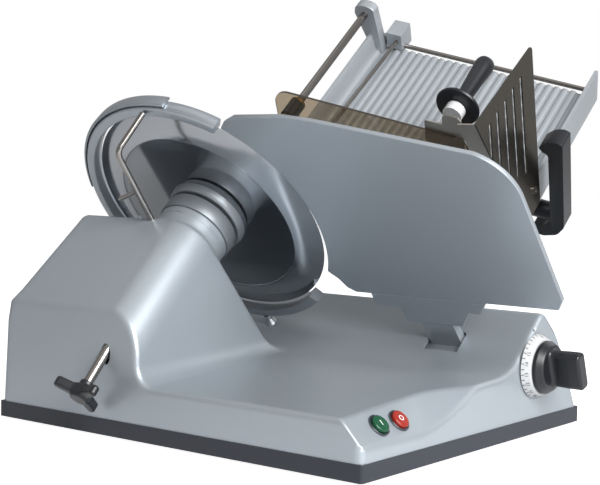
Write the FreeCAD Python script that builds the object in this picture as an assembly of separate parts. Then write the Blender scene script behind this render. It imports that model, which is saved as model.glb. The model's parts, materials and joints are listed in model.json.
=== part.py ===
"""Gravity feed meat slicer, one STEP file for each sub-part.

Frame: millimetres, +Z up. The origin is the centre of the base, on the plane of the feet.
X runs along the carriage travel, -Y is the slicing side where the slices fall.
Two tilted frames carry the slicing parts:
  blade frame  x along X, h up the blade plane, w down the slope (away from the product)
  table frame  p along the table, s up the slope (towards the product), m off the table
"""
import FreeCAD, Part
import math
import os

V = FreeCAD.Vector
os.makedirs("parts", exist_ok=True)

# ---------------------------------------------------------------- driving dimensions
# base
BASE_LENGTH = 550.0          # X
BASE_WIDTH = 480.0           # Y
FOOT_HEIGHT = 3.0            # feet below the plinth
FOOT_RADIUS = 17.0
FOOT_INSET = 62.0            # foot centre from the plinth's edges
PLINTH_HEIGHT = 19.0
PLINTH_WALL = 6.0
COVER_THICKNESS = 2.0
HOUSING_STEP = 1.5           # housing stands in from the plinth
WALL = 5.0                   # casting wall
DRAFT = 0.026                # casting draft, mm per mm of height
TRAY_FRONT_HEIGHT = 66.0     # tray surface above the feet's plane
TRAY_BACK_HEIGHT = 79.5
RIDGE_Y = 148.5
RIDGE_HEIGHT = 150.0
ROOF_Y = 202.0
ROOF_HEIGHT = 104.0
SKIRT_Y = 229.0
SKIRT_HEIGHT = 39.0
PANEL_LOW = 37.0             # lower edge of the button panel
PANEL_SLOPE = 45.0           # degrees
# blade plane
BLADE_LEAN = 41.15           # blade plane from the vertical, degrees
BLADE_X = -121.0             # blade centre
BLADE_Y = -24.5
BLADE_Z = 259.5
BLADE_RADIUS = 165.0
BLADE_BAND = BLADE_RADIUS - 38.0    # inner radius of the ground band
BLADE_BULGE = 9.0            # viewer side of the band above the edge plane
# motor hump, in the blade frame
HUMP_TOP = 55.0              # h of the top face
HUMP_REAR = 72.0             # w of the rear face
HUMP_RIGHT = 58.0            # x of the right face at the rear
HUMP_FLARE = 0.095           # right face moves out per mm of w
HUMP_CREST = 42.0            # crest radius, right
HUMP_EDGE = 22.0             # edge radius, left
NECK_RADIUS = 47.5
NECK_END = 43.0              # w of the neck's end face
NECK_BORE = 42.5
# spindle
SHAFT_RADIUS = 12.5
SHAFT_BORE = 5.0
SHAFT_START = 3.5            # w
SHAFT_END = 157.0
TIE_RADIUS = 4.0
BEARING_RADIUS = 26.0
BEARING_LENGTH = 12.0
BEARING_PLACES = (50.0, 120.0)
SPINDLE_RADIUS = 33.0
SPINDLE_LENGTH = 90.0
FLANGE_THICKNESS = 8.0
CAP_RADIUS = 50.0
CAP_START = 22.0
SEAL_RADIUS = 46.0
SEAL_START = 18.0
HUB_RADIUS = 54.0
HUB_END = 17.7
# belt drive and motor
PULLEY_START = 142.0
PULLEY_WIDTH = 14.0
BLADE_PULLEY_RADIUS = 36.0
MOTOR_PULLEY_RADIUS = 14.0
MOTOR_DX = -75.0
MOTOR_DH = -15.0
MOTOR_RADIUS = 44.0
MOTOR_START = 162.0
MOTOR_LENGTH = 80.0
MOTOR_SHAFT_RADIUS = 6.0
MOUNT_THICKNESS = 4.0
BELT_THICKNESS = 3.0
BELT_WIDTH = 10.0
# guard ring, angles from +x towards +h
RING_INNER = BLADE_RADIUS + 2.3
RING_OUTER = RING_INNER + 14.7
RING_FRONT = 14.0            # w
RING_BACK = -3.0
RING_FROM = 57.0
RING_TO = 309.0
CAP_FROM = 80.0
CAP_TO = 166.0
CAP_OUTER = RING_OUTER + 4.0
STAY_ANGLE = 227.0
STAY_RADIUS = 8.0
FOOT_STUD_X = 5.0
FOOT_STUD_W = 11.0
# thickness gauge
PLATE_THICKNESS = 6.0
GAUGE_TRAVEL = 15.0
DIAL_TURN = 300.0            # degrees for the whole travel
STEM_X0 = 257.0
STEM_X1 = 303.0
STEM_THICKNESS = 11.5
GUIDE_BAR_RADIUS = 6.0
GUIDE_BAR_X = (250.0, 310.0)
GUIDE_BAR_H = -222.0
GUIDE_BAR_W0 = -42.0
GUIDE_BAR_W1 = 62.0
SLIDE_X0 = 232.0
SLIDE_X1 = 328.0
SLIDE_H0 = -240.0
SLIDE_H1 = -206.0
SLIDE_W0 = -22.0
SLIDE_W1 = 22.0
DIAL_Y = 125.5               # dial axis, along X
DIAL_Z = 85.0
SPINDLE_R = 5.0
CAM_X = 217.0
CAM_THICKNESS = 8.0
CAM_RADIUS = 28.3
CAM_GROOVE_DEPTH = 5.0
CAM_START_RADIUS = 9.0
PIN_RADIUS = 2.5
DIAL_RING_RADIUS = 39.4
DIAL_RING_SMALL = 34.0
DIAL_RING_WIDTH = 10.5
KNOB_RADIUS = 32.0
KNOB_FLANGE = 13.0
KNOB_LENGTH = 52.0
KNOB_GRIP_WIDTH = 46.0
KNOB_GRIP_THICKNESS = 18.0
# buttons
BUTTON_INSET = 16.0          # centre, in from the housing side
BUTTON_Y = (-187.0, -149.5)
BUTTON_RADIUS = 11.0
BEZEL_RADIUS = 13.3
# clamp screw
CLAMP_X = -95.0
CLAMP_Z = 99.0
CLAMP_DIP = 49.0             # degrees below the horizontal
CLAMP_RADIUS = 6.0
CLAMP_OUT = 66.0             # from the wall to the knob's end
CLAMP_TURN = 141.0           # first lobe, degrees
CLAMP_IN = 42.0
CLAMP_LOBE = 34.0
# carriage table, in the table frame
TABLE_TILT = -17.8           # table plane about the slope, degrees
TABLE_TOP = 60.0             # m of the rib tops
RIB_HEIGHT = 3.0
RIB_COUNT = 24
RIB_WIDTH = 7.0
TABLE_P0 = 88.0
TABLE_P1 = 388.0
RIBS_P0 = 118.0
RIBS_P1 = 376.0
TABLE_S0 = 8.0
TABLE_S1 = 312.0
TABLE_THICKNESS = 6.0
LEFT_WALL_TOP = 85.0
END_WALL_TOP = 78.0
END_WALL_BOTTOM = 30.0
END_WALL_P = 392.5
END_WALL_REAR = 338.0        # s of the rear edge
CARRIAGE_TRAVEL = 300.0
# carriage arm and rail
RAIL_RADIUS = 10.0
RAIL_Y = 172.0
RAIL_Z = 70.0
RAIL_X0 = -255.0
RAIL_X1 = 205.0
ARM_X = 122.0
ARM_WIDTH = 50.0
ARM_THICKNESS = 18.0
FOOT_LENGTH = 60.0
SLOT_MARGIN = 4.0
# holder rod and remnant holder, in the table frame
HOLDER_P = 84.0
HOLDER_M = 116.0
HOLDER_ROD_RADIUS = 5.0
BOSS_RADIUS = 15.0
BOSS_SCREW_RADIUS = 4.0
ARM_PLATE = 14.0             # thickness of the plate that carries the boss
HOLDER_ROD_S0 = 12.0
HOLDER_ROD_S1 = 312.0
HOLDER_S = 86.0
SLEEVE_LENGTH = 28.0
SLEEVE_RADIUS = 10.0
BUSH_RADIUS = 7.0
HOLDER_PLATE_THICKNESS = 3.0
GRIP_P = 308.0
GRIP_M = 188.0
GRIP_LENGTH = 103.0          # from the holder plate to the grip's end
# rear rod and fence
REAR_ROD_RADIUS = 3.0
REAR_ROD_S = 317.0
REAR_ROD_M = 61.5
REAR_ROD_SHORT = 4.0         # the rod ends this far from the end wall
FENCE_P0 = 108.0
FENCE_P1 = 130.0
FENCE_DEPTH = 29.0
FENCE_TOP = 85.0
FENCE_ROD_RADIUS = 2.5
# slotted guard, plane across X
GUARD_X = 400.0
GUARD_THICKNESS = 2.0
SLOT_WIDTH = 6.0
GUARD_SCREW_S = 116.0
GUARD_SCREW_H = -50.0
# carriage handle, in the table frame
HANDLE_S = 147.0
HANDLE_M = 12.0
HANDLE_TUBE_RADIUS = 11.5
HANDLE_LUG_P = 318.0
# clearances
FIT = 0.05                   # radial running fit
GAP = 0.3                    # between parts that only pass each other

# ---------------------------------------------------------------- frames
TURN_X = FreeCAD.Rotation(V(1, 0, 0), 90.0 + BLADE_LEAN)
BLADE_FRAME = FreeCAD.Placement(V(BLADE_X, BLADE_Y, BLADE_Z), TURN_X)
TABLE_TURN = FreeCAD.Rotation(V(0, 0, 1), TABLE_TILT).multiply(FreeCAD.Rotation(V(1, 0, 0), -90.0))
TABLE_FRAME = BLADE_FRAME.multiply(FreeCAD.Placement(V(0, 0, 0), TABLE_TURN))
# profile frames: local X, Y are the profile's axes and local Z is the extrusion
SIDE_FRAME = FreeCAD.Placement(V(0, 0, 0), FreeCAD.Rotation(V(1, 1, 1), 120.0))
SLOPE_SIDE = BLADE_FRAME.multiply(FreeCAD.Placement(V(0, 0, 0), FreeCAD.Rotation(V(0, 1, 0), 90.0)))
TABLE_ACROSS = TABLE_FRAME.multiply(FreeCAD.Placement(V(0, 0, 0), FreeCAD.Rotation(V(1, 0, 0), 90.0)))


def placed(shape, frame):
    """The shape, moved from a local frame into the world."""
    out = shape.copy()
    out.Placement = frame.multiply(out.Placement)
    return out


def export(name, *solids):
    """Write one node; several solids make a group."""
    shape = solids[0] if len(solids) == 1 else Part.makeCompound(list(solids))
    shape.exportStep("parts/" + name + ".step")


def box(x0, y0, z0, x1, y1, z1):
    """Box between two corners."""
    return Part.makeBox(x1 - x0, y1 - y0, z1 - z0, V(x0, y0, z0))


def rod(start, end, radius):
    """Cylinder between two points."""
    axis = end - start
    return Part.makeCylinder(radius, axis.Length, start, axis)


def tube(start, end, outer, inner):
    """Hollow cylinder between two points."""
    return rod(start, end, outer).cut(rod(start, end, inner))


def fuse(first, *others):
    """Union with the seams between flush faces removed."""
    return first.fuse(list(others)).removeSplitter()


def outline(points, radii=None):
    """Closed wire through the points in the local XY plane, with rounded corners."""
    count = len(points)
    radii = radii or [0.0] * count
    corners = []
    for i, (x, y) in enumerate(points):
        here = V(x, y, 0)
        before = V(*points[i - 1], 0) - here
        after = V(*points[(i + 1) % count], 0) - here
        if radii[i] <= 0.0:
            corners.append((here, None, here))
            continue
        half = before.getAngle(after) / 2.0
        back = radii[i] / math.tan(half)
        before.normalize()
        after.normalize()
        middle = (before + after).normalize()
        mid = here + middle * (radii[i] / math.sin(half) - radii[i])
        corners.append((here + before * back, mid, here + after * back))
    edges = []
    for i, (start, mid, end) in enumerate(corners):
        if mid is not None:
            edges.append(Part.Arc(start, mid, end).toShape())
        following = corners[(i + 1) % count][0]
        if (following - end).Length > 1e-6:
            edges.append(Part.LineSegment(end, following).toShape())
    return Part.Wire(edges)


def prism(points, low, high, radii=None, frame=None):
    """Rounded polygon extruded from low to high along local Z."""
    solid = Part.Face(outline(points, radii)).extrude(V(0, 0, high - low))
    solid.translate(V(0, 0, low))
    return placed(solid, frame) if frame else solid


def turned(profile, start=0.0, sweep=360.0):
    """Revolve a (radius, w) profile about local Z."""
    corners = [V(r, 0, w) for r, w in profile]
    face = Part.Face(Part.makePolygon(corners + [corners[0]]))
    solid = face.revolve(V(0, 0, 0), V(0, 0, 1), sweep)
    solid.rotate(V(0, 0, 0), V(0, 0, 1), start)
    return solid


def inset_polygon(points, distances):
    """Move each edge of a clockwise polygon inwards by its own distance."""
    lines = []
    for i, (x, y) in enumerate(points):
        nx, ny = points[(i + 1) % len(points)]
        length = math.hypot(nx - x, ny - y)
        dx, dy = (nx - x) / length, (ny - y) / length
        lines.append((x + dy * distances[i], y - dx * distances[i], dx, dy))
    moved = []
    for i, (x, y, dx, dy) in enumerate(lines):
        px, py, ex, ey = lines[i - 1]
        k = ((x - px) * dy - (y - py) * dx) / (ex * dy - ey * dx)
        moved.append((px + ex * k, py + ey * k))
    return moved


def polar(radius, degrees, w=0.0):
    """Point of the blade frame at a radius and angle."""
    a = math.radians(degrees)
    return V(radius * math.cos(a), radius * math.sin(a), w)


# ---------------------------------------------------------------- base
PLINTH_TOP = FOOT_HEIGHT + PLINTH_HEIGHT
HALF_X = BASE_LENGTH / 2.0
HALF_Y = BASE_WIDTH / 2.0
SKIN_X = HALF_X - HOUSING_STEP
SKIN_Y = HALF_Y - HOUSING_STEP
LEDGE = 12.0
LEDGE_THICKNESS = 4.0


def centred_box(half_x, half_y, low, high):
    """Box about the base's vertical axis."""
    return box(-half_x, -half_y, low, half_x, half_y, high)


def foot_places():
    """Centres of the four feet."""
    return [V(sx * (HALF_X - FOOT_INSET), sy * (HALF_Y - FOOT_INSET), 0)
            for sx in (-1, 1) for sy in (-1, 1)]


def cover_screw_places():
    """Six screws on the ledge under the base."""
    reach_x = HALF_X - PLINTH_WALL - LEDGE / 2.0
    reach_y = HALF_Y - PLINTH_WALL - LEDGE / 2.0
    places = [V(sx * reach_x, sy * reach_y, 0) for sx in (-1, 1) for sy in (-1, 1)]
    return places + [V(0, sy * reach_y, 0) for sy in (-1, 1)]


SCREW_R = 2.0
SCREW_HEAD_R = 4.0
SCREW_HEAD = 1.0


def build_plinth():
    """Dark rim under the casting, its cover, screws and feet."""
    body = centred_box(HALF_X, HALF_Y, FOOT_HEIGHT, PLINTH_TOP)
    body = body.makeFillet(4.0, [e for e in body.Edges if abs(e.tangentAt(0).z) > 0.9])
    inner_x, inner_y = HALF_X - PLINTH_WALL, HALF_Y - PLINTH_WALL
    recess_top = FOOT_HEIGHT + COVER_THICKNESS
    ledge_top = recess_top + LEDGE_THICKNESS
    body = body.cut(centred_box(inner_x, inner_y, FOOT_HEIGHT - 1, recess_top))
    body = body.cut(centred_box(inner_x - LEDGE, inner_y - LEDGE, recess_top - 1, ledge_top + 1))
    body = body.cut(centred_box(inner_x, inner_y, ledge_top, PLINTH_TOP + 1))
    cover = centred_box(inner_x - GAP, inner_y - GAP, FOOT_HEIGHT, recess_top)
    screws = []
    for place in cover_screw_places():
        base = place + V(0, 0, FOOT_HEIGHT - SCREW_HEAD)
        tip = place + V(0, 0, ledge_top)
        hole = rod(base, tip, SCREW_R + FIT)
        cover = cover.cut(hole)
        body = body.cut(hole)
        head = rod(base, place + V(0, 0, FOOT_HEIGHT), SCREW_HEAD_R)
        screws.append(fuse(rod(base, tip, SCREW_R), head))
    export("plinth", body)
    export("bottom_cover", cover)
    export("cover_screws", *screws)
    export("rubber_feet", *[rod(c, c + V(0, 0, FOOT_HEIGHT), FOOT_RADIUS) for c in foot_places()])


# ---------------------------------------------------------------- housing
SLOPE_H = ((RIDGE_Y - BLADE_Y) * -math.sin(math.radians(BLADE_LEAN))
           + (RIDGE_HEIGHT - BLADE_Z) * math.cos(math.radians(BLADE_LEAN)))


def slope_foot():
    """Where the rear slope, parallel to the blade axis, meets the tray."""
    rise = math.tan(math.radians(BLADE_LEAN))
    tray_rise = (TRAY_BACK_HEIGHT - TRAY_FRONT_HEIGHT) / 300.0
    y = (RIDGE_HEIGHT - TRAY_FRONT_HEIGHT - rise * RIDGE_Y - tray_rise * SKIN_Y) / (tray_rise - rise)
    return y, RIDGE_HEIGHT - rise * (RIDGE_Y - y)


def envelope(inset):
    """Drafted box that bounds the casting."""
    top = 300.0
    wires = []
    for z in (PLINTH_TOP, top):
        shrink = inset + DRAFT * (z - PLINTH_TOP)
        hx, hy = SKIN_X - shrink, SKIN_Y - shrink
        corners = [V(-hx, -hy, z), V(hx, -hy, z), V(hx, hy, z), V(-hx, hy, z)]
        wires.append(Part.makePolygon(corners + [corners[0]]))
    solid = Part.makeLoft(wires, True, True)
    if inset > 0.0:
        lower = centred_box(SKIN_X - inset, SKIN_Y - inset, PLINTH_TOP - 1, PLINTH_TOP + 0.01)
        solid = solid.fuse(lower)
    return solid


def slab(inset):
    """Tray, rear slope, ridge and rear roof as one long section."""
    foot = slope_foot()
    points = [(-SKIN_Y, PLINTH_TOP), (-SKIN_Y, TRAY_FRONT_HEIGHT), foot,
              (RIDGE_Y, RIDGE_HEIGHT), (ROOF_Y, ROOF_HEIGHT), (SKIRT_Y, SKIRT_HEIGHT),
              (SKIN_Y, PLINTH_TOP)]
    radii = [0.0, 10.0, 60.0, 9.0, 14.0, 8.0, 0.0]
    if inset > 0.0:
        points = inset_polygon(points, [inset] * 6 + [-1.0])
        radii = [0.0, 5.0, 60.0 + inset, 4.0, 9.0, 3.0, 0.0]
    return prism(points, -HALF_X, HALF_X, radii, SIDE_FRAME)


def hump_section(right, inset, w):
    """Cross-section of the hump in the blade frame."""
    left = -HALF_X - BLADE_X
    bottom = -260.0
    top = HUMP_TOP - inset
    points = [(left, bottom), (left, top), (right, top), (right, bottom)]
    edge = max(HUMP_EDGE - inset, 2.0)
    wire = outline(points, [0.0, edge, HUMP_CREST - inset, 0.0])
    wire.translate(V(0, 0, w))
    return wire


def hump(inset):
    """Motor hump: top face parallel to the blade axis, rear face parallel to the blade."""
    start, end = HUMP_REAR + inset, 345.0
    wires = [hump_section(HUMP_RIGHT - inset + HUMP_FLARE * (w - HUMP_REAR), inset, w)
             for w in (start, end)]
    return placed(Part.makeLoft(wires, True, True), BLADE_FRAME)


def neck():
    """Short neck on the blade axis, flared into the hump."""
    flare = 9.5
    profile = [(0.0, NECK_END), (NECK_RADIUS, NECK_END), (NECK_RADIUS, HUMP_REAR - 14.0),
               (NECK_RADIUS + 1.2, HUMP_REAR - 8.0), (NECK_RADIUS + 3.8, HUMP_REAR - 3.5),
               (NECK_RADIUS + flare, HUMP_REAR), (NECK_RADIUS + flare - 6.0, HUMP_REAR + 20.0),
               (0.0, HUMP_REAR + 20.0)]
    return placed(turned(profile), BLADE_FRAME)


def half_space(point, normal, depth=300.0):
    """Big box whose lower face passes through the point, on the normal's side."""
    solid = box(-400, -400, 0, 400, 400, depth)
    solid.Placement = FreeCAD.Placement(point, FreeCAD.Rotation(V(0, 0, 1), normal))
    return solid


PANEL_NORMAL = V(math.sin(math.radians(PANEL_SLOPE)), 0, math.cos(math.radians(PANEL_SLOPE)))
FACET_NORMAL = V(0.316, -0.524, 0.791)
FACET_START_Y = -67.8


def panel_cut(inset):
    """What the sloping button panel and its end facet take off the casting."""
    edge = V(SKIN_X, FACET_START_Y, PANEL_LOW)
    first = half_space(edge - PANEL_NORMAL * inset, PANEL_NORMAL)
    second = half_space(edge - FACET_NORMAL * inset, FACET_NORMAL)
    return first.common(second)


def core(inset):
    """Casting without its neck, shrunk by the inset."""
    body = slab(inset).fuse(hump(inset)).common(envelope(inset))
    return body.cut(panel_cut(inset)).removeSplitter()


def arm_sides():
    """Front and rear face of the carriage arm where it enters the base."""
    return RAIL_Y - ARM_THICKNESS / 2.0, RAIL_Y + ARM_THICKNESS / 2.0


ARM_SLOT_X0 = ARM_X - CARRIAGE_TRAVEL - ARM_WIDTH / 2.0 - SLOT_MARGIN
ARM_SLOT_X1 = ARM_X + ARM_WIDTH / 2.0 + SLOT_MARGIN
STEM_W0 = PLATE_THICKNESS - STEM_THICKNESS
STEM_W1 = PLATE_THICKNESS
CLAMP_DIR = V(0, -math.cos(math.radians(CLAMP_DIP)), -math.sin(math.radians(CLAMP_DIP)))
CLAMP_POINT = V(CLAMP_X, -SKIN_Y + DRAFT * (CLAMP_Z - PLINTH_TOP), CLAMP_Z)
DIAL_BUSH_R = SPINDLE_R + 4.0
DEFLECTOR_R = 3.75
DEFLECTOR_X = -16.0
DEFLECTOR_W = 77.0


def deflector_points():
    """Foot, bend and top of the deflector rod, in the blade frame."""
    foot = V(DEFLECTOR_X, HUMP_TOP - 12.0, DEFLECTOR_W)
    bend = V(DEFLECTOR_X, 157.0, DEFLECTOR_W - 8.0)
    top = V(0.0, (RING_INNER + RING_OUTER) / 2.0, RING_FRONT + 2.2)
    return foot, bend, top


def button_point(y):
    """Centre of a button on the panel's surface."""
    return V(SKIN_X - BUTTON_INSET, y, PANEL_LOW + BUTTON_INSET * math.tan(math.radians(PANEL_SLOPE)))


def housing_holes():
    """Everything that passes through the casting's wall."""
    y0, y1 = arm_sides()
    holes = [box(ARM_SLOT_X0, y0 - SLOT_MARGIN, ROOF_HEIGHT - 6, ARM_SLOT_X1, y1 + SLOT_MARGIN, 170)]
    margin = SLOT_MARGIN / 2.0
    stem = box(STEM_X0 - margin, SLOPE_H - 40.0, STEM_W0 - margin,
               STEM_X1 + margin, SLOPE_H + 20.0, STEM_W1 + GAUGE_TRAVEL + margin)
    holes.append(placed(stem, BLADE_FRAME))
    holes.append(rod(CLAMP_POINT - CLAMP_DIR * 30.0, CLAMP_POINT + CLAMP_DIR * 30.0, CLAMP_RADIUS + GAP))
    holes.append(rod(V(SKIN_X - 20, DIAL_Y, DIAL_Z), V(SKIN_X + 20, DIAL_Y, DIAL_Z), DIAL_BUSH_R + FIT))
    for y in BUTTON_Y:
        centre = button_point(y)
        holes.append(rod(centre - PANEL_NORMAL * 12.0, centre + PANEL_NORMAL * 12.0, BUTTON_RADIUS + 1.2))
    foot, bend, _ = deflector_points()
    lead = V(bend - foot).normalize()
    holes.append(placed(rod(foot - lead * 0.1, foot + lead * 30.0, DEFLECTOR_R + FIT), BLADE_FRAME))
    return holes


def build_housing():
    """Hollow casting with every hole in it."""
    skin = core(0.0).fuse(neck())
    bore = placed(rod(V(0, 0, NECK_END - 1), V(0, 0, HUMP_REAR + 20.0), NECK_BORE), BLADE_FRAME)
    body = skin.cut([core(WALL), bore]).cut(housing_holes())
    export("housing", max(body.Solids, key=lambda s: s.Volume))


# ---------------------------------------------------------------- spindle and blade
def blade_ring(start, length, outer, inner=0.0):
    """Disc or ring on the blade axis."""
    a, b = V(0, 0, start), V(0, 0, start + length)
    solid = tube(a, b, outer, inner) if inner else rod(a, b, outer)
    return placed(solid, BLADE_FRAME)


BLADE_SCREWS = 3
BLADE_SCREW_CIRCLE = 33.0
BLADE_BACK = 3.5
COVER_RADIUS = BLADE_BAND - 1.0


def build_spindle():
    """Fixed spindle on the blade axis, its cap and bearings, the shaft and the cover's tie rod."""
    export("neck_cap", placed(turned([
        (SPINDLE_RADIUS, CAP_START), (CAP_RADIUS - 1.0, CAP_START), (CAP_RADIUS, CAP_START + 1.0),
        (CAP_RADIUS, NECK_END - 2.0), (CAP_RADIUS - 1.5, NECK_END), (SPINDLE_RADIUS, NECK_END)]),
        BLADE_FRAME))
    export("hub_seal", blade_ring(SEAL_START, CAP_START - SEAL_START, SEAL_RADIUS, SHAFT_RADIUS + GAP))
    flange = blade_ring(NECK_END, FLANGE_THICKNESS, NECK_BORE - FIT, BEARING_RADIUS)
    barrel = blade_ring(NECK_END, SPINDLE_LENGTH, SPINDLE_RADIUS, BEARING_RADIUS + FIT)
    flange = flange.cut(blade_ring(NECK_END, FLANGE_THICKNESS, SPINDLE_RADIUS))
    export("spindle_housing", fuse(barrel, flange))
    export("shaft_bearings", *[blade_ring(w, BEARING_LENGTH, BEARING_RADIUS, SHAFT_RADIUS + FIT)
                               for w in BEARING_PLACES])
    export("blade_shaft", blade_ring(SHAFT_START, SHAFT_END - SHAFT_START, SHAFT_RADIUS, SHAFT_BORE))
    tie_start = BLADE_BACK - GAP - 2.0
    tie = fuse(blade_ring(tie_start, MOTOR_START + 9.0 - tie_start, TIE_RADIUS),
               blade_ring(MOTOR_START, 5.0, TIE_RADIUS + 3.5))
    export("cover_tie_rod", tie)


def build_blade():
    """Dished blade with its hub, screws and the still cover behind it."""
    profile = [(SHAFT_RADIUS, BLADE_BACK), (BLADE_RADIUS - 30.0, BLADE_BACK), (BLADE_RADIUS - 15.0, 1.3),
               (BLADE_RADIUS - 0.3, 0.0), (BLADE_RADIUS, 0.0), (BLADE_RADIUS, 0.3), (BLADE_RADIUS - 7.0, 2.6),
               (BLADE_RADIUS - 18.0, 5.6), (BLADE_RADIUS - 28.0, 7.8),
               (BLADE_BAND, BLADE_BULGE), (BLADE_BAND - 2.0, BLADE_BULGE - 0.2),
               (BLADE_BAND - 6.0, BLADE_BULGE - 1.2), (BLADE_BAND - 27.0, 7.2), (SHAFT_RADIUS, 7.2)]
    blade = placed(turned(profile), BLADE_FRAME)
    hub_start = 7.2
    hub = placed(turned([(SHAFT_RADIUS, hub_start), (HUB_RADIUS, hub_start), (HUB_RADIUS - 1.0, 13.0),
                         (HUB_RADIUS - 3.5, HUB_END), (SHAFT_RADIUS, HUB_END)]), BLADE_FRAME)
    screws = []
    for i in range(BLADE_SCREWS):
        a = polar(BLADE_SCREW_CIRCLE, 90.0 + i * 360.0 / BLADE_SCREWS, BLADE_BACK)
        hole = placed(rod(a, a + V(0, 0, 10.0), 2.5), BLADE_FRAME)
        blade, hub = blade.cut(hole), hub.cut(hole)
        screws.append(hole)
    export("blade", blade)
    export("blade_hub", hub)
    export("blade_screws", *screws)
    cover = placed(turned([(TIE_RADIUS, -1.0), (COVER_RADIUS - 3.0, -1.0), (COVER_RADIUS, 0.5),
                           (COVER_RADIUS, BLADE_BACK - GAP), (TIE_RADIUS, BLADE_BACK - GAP)]), BLADE_FRAME)
    export("blade_cover", cover.cut(blade_ring(BLADE_BACK - GAP - 2.0, 4.0, TIE_RADIUS)))


def hull_wire(r1, r2, dx, dh, w):
    """Belt line round two pulleys: two arcs and their outer tangents."""
    span = math.hypot(dx, dh)
    along = math.atan2(dh, dx)
    lean = math.acos((r1 - r2) / span)
    c1, c2 = V(0, 0, w), V(dx, dh, w)

    def at(centre, radius, angle):
        return centre + V(radius * math.cos(angle), radius * math.sin(angle), 0)

    a1, b1 = at(c1, r1, along + lean), at(c1, r1, along - lean)
    a2, b2 = at(c2, r2, along + lean), at(c2, r2, along - lean)
    return Part.Wire([Part.Arc(a1, at(c1, r1, along + math.pi), b1).toShape(),
                      Part.LineSegment(b1, b2).toShape(),
                      Part.Arc(b2, at(c2, r2, along), a2).toShape(),
                      Part.LineSegment(a2, a1).toShape()])


def pulley(centre, radius, bore):
    """Flanged belt pulley, flanges narrower than the belt is thick."""
    lip = 2.0
    wheel = rod(centre, centre + V(0, 0, PULLEY_WIDTH), radius)
    for w in (0.0, PULLEY_WIDTH - (PULLEY_WIDTH - BELT_WIDTH) / 2.0 + GAP):
        flange = rod(centre + V(0, 0, w), centre + V(0, 0, w + (PULLEY_WIDTH - BELT_WIDTH) / 2.0 - GAP),
                     radius + lip)
        wheel = fuse(wheel, flange)
    return wheel.cut(rod(centre - V(0, 0, 1), centre + V(0, 0, PULLEY_WIDTH + 1), bore))


def build_drive():
    """Pulleys, belt, motor and the plate that carries the motor."""
    start = V(0, 0, PULLEY_START)
    motor_axis = V(MOTOR_DX, MOTOR_DH, 0)
    export("blade_pulley", placed(pulley(start, BLADE_PULLEY_RADIUS, SHAFT_RADIUS), BLADE_FRAME))
    export("motor_pulley", placed(pulley(start + motor_axis, MOTOR_PULLEY_RADIUS, MOTOR_SHAFT_RADIUS),
                                  BLADE_FRAME))
    w = PULLEY_START + (PULLEY_WIDTH - BELT_WIDTH) / 2.0
    rings = [Part.Face(hull_wire(BLADE_PULLEY_RADIUS + d, MOTOR_PULLEY_RADIUS + d, MOTOR_DX, MOTOR_DH, w))
             for d in (GAP + BELT_THICKNESS, GAP)]
    belt = rings[0].extrude(V(0, 0, BELT_WIDTH)).cut(rings[1].extrude(V(0, 0, BELT_WIDTH)))
    export("drive_belt", placed(belt, BLADE_FRAME))
    shaft_end = MOTOR_START + 20.0
    export("motor_shaft", placed(rod(motor_axis + start, motor_axis + V(0, 0, shaft_end), MOTOR_SHAFT_RADIUS),
                                 BLADE_FRAME))
    body = rod(motor_axis + V(0, 0, MOTOR_START), motor_axis + V(0, 0, MOTOR_START + MOTOR_LENGTH),
               MOTOR_RADIUS)
    bore = rod(motor_axis + V(0, 0, MOTOR_START - 1), motor_axis + V(0, 0, shaft_end + GAP),
               MOTOR_SHAFT_RADIUS + FIT)
    export("motor", placed(body.cut(bore), BLADE_FRAME))
    low, high = MOTOR_START - MOUNT_THICKNESS, MOTOR_START
    plate = placed(box(-160, -120, low, 80, 60, high), BLADE_FRAME).common(core(WALL + 0.1))
    opening = rod(motor_axis + V(0, 0, low - 1), motor_axis + V(0, 0, high + 1), MOTOR_SHAFT_RADIUS + 2.0)
    nut_hole = rod(V(0, 0, low - 1), V(0, 0, high + 1), TIE_RADIUS + FIT)
    plate = plate.cut([placed(opening, BLADE_FRAME), placed(nut_hole, BLADE_FRAME)])
    export("motor_mount", max(plate.Solids, key=lambda s: s.Volume))


# ---------------------------------------------------------------- guard ring
RING_PROFILE = [(RING_INNER, RING_BACK), (RING_OUTER - 4.0, RING_BACK), (RING_OUTER, RING_BACK + 4.0),
                (RING_OUTER, 6.0), (RING_OUTER - 3.5, RING_FRONT), (RING_INNER, RING_FRONT)]


def build_guard():
    """Ring round the blade, its cap and what it stands on."""
    export("guard_ring", placed(turned(RING_PROFILE, RING_FROM, RING_TO - RING_FROM), BLADE_FRAME))
    cap = [(RING_OUTER + GAP, RING_BACK - 2.0), (CAP_OUTER - 1.0, RING_BACK - 2.0), (CAP_OUTER, RING_BACK),
           (CAP_OUTER, RING_FRONT - 4.0), (RING_OUTER + GAP, RING_FRONT - 2.0)]
    export("guard_cap", placed(turned(cap, CAP_FROM, CAP_TO - CAP_FROM), BLADE_FRAME))
    # foot stud between the ring and the rear slope, and a stay from the hump's rear face
    reach = math.sqrt(RING_OUTER ** 2 - FOOT_STUD_X ** 2)
    height = -SLOPE_H - reach
    stud = turned([(0.0, 0.0), (5.5, 0.0), (4.5, height * 0.45), (8.5, height), (0.0, height)])
    stud.rotate(V(0, 0, 0), V(1, 0, 0), 90.0)
    stud.translate(V(FOOT_STUD_X, -reach, FOOT_STUD_W - 3.0))
    a = polar((RING_INNER + RING_OUTER) / 2.0, STAY_ANGLE, RING_FRONT)
    stay = rod(a, V(a.x, a.y, HUMP_REAR), STAY_RADIUS)
    export("guard_supports", placed(stud, BLADE_FRAME), placed(stay, BLADE_FRAME))


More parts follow.
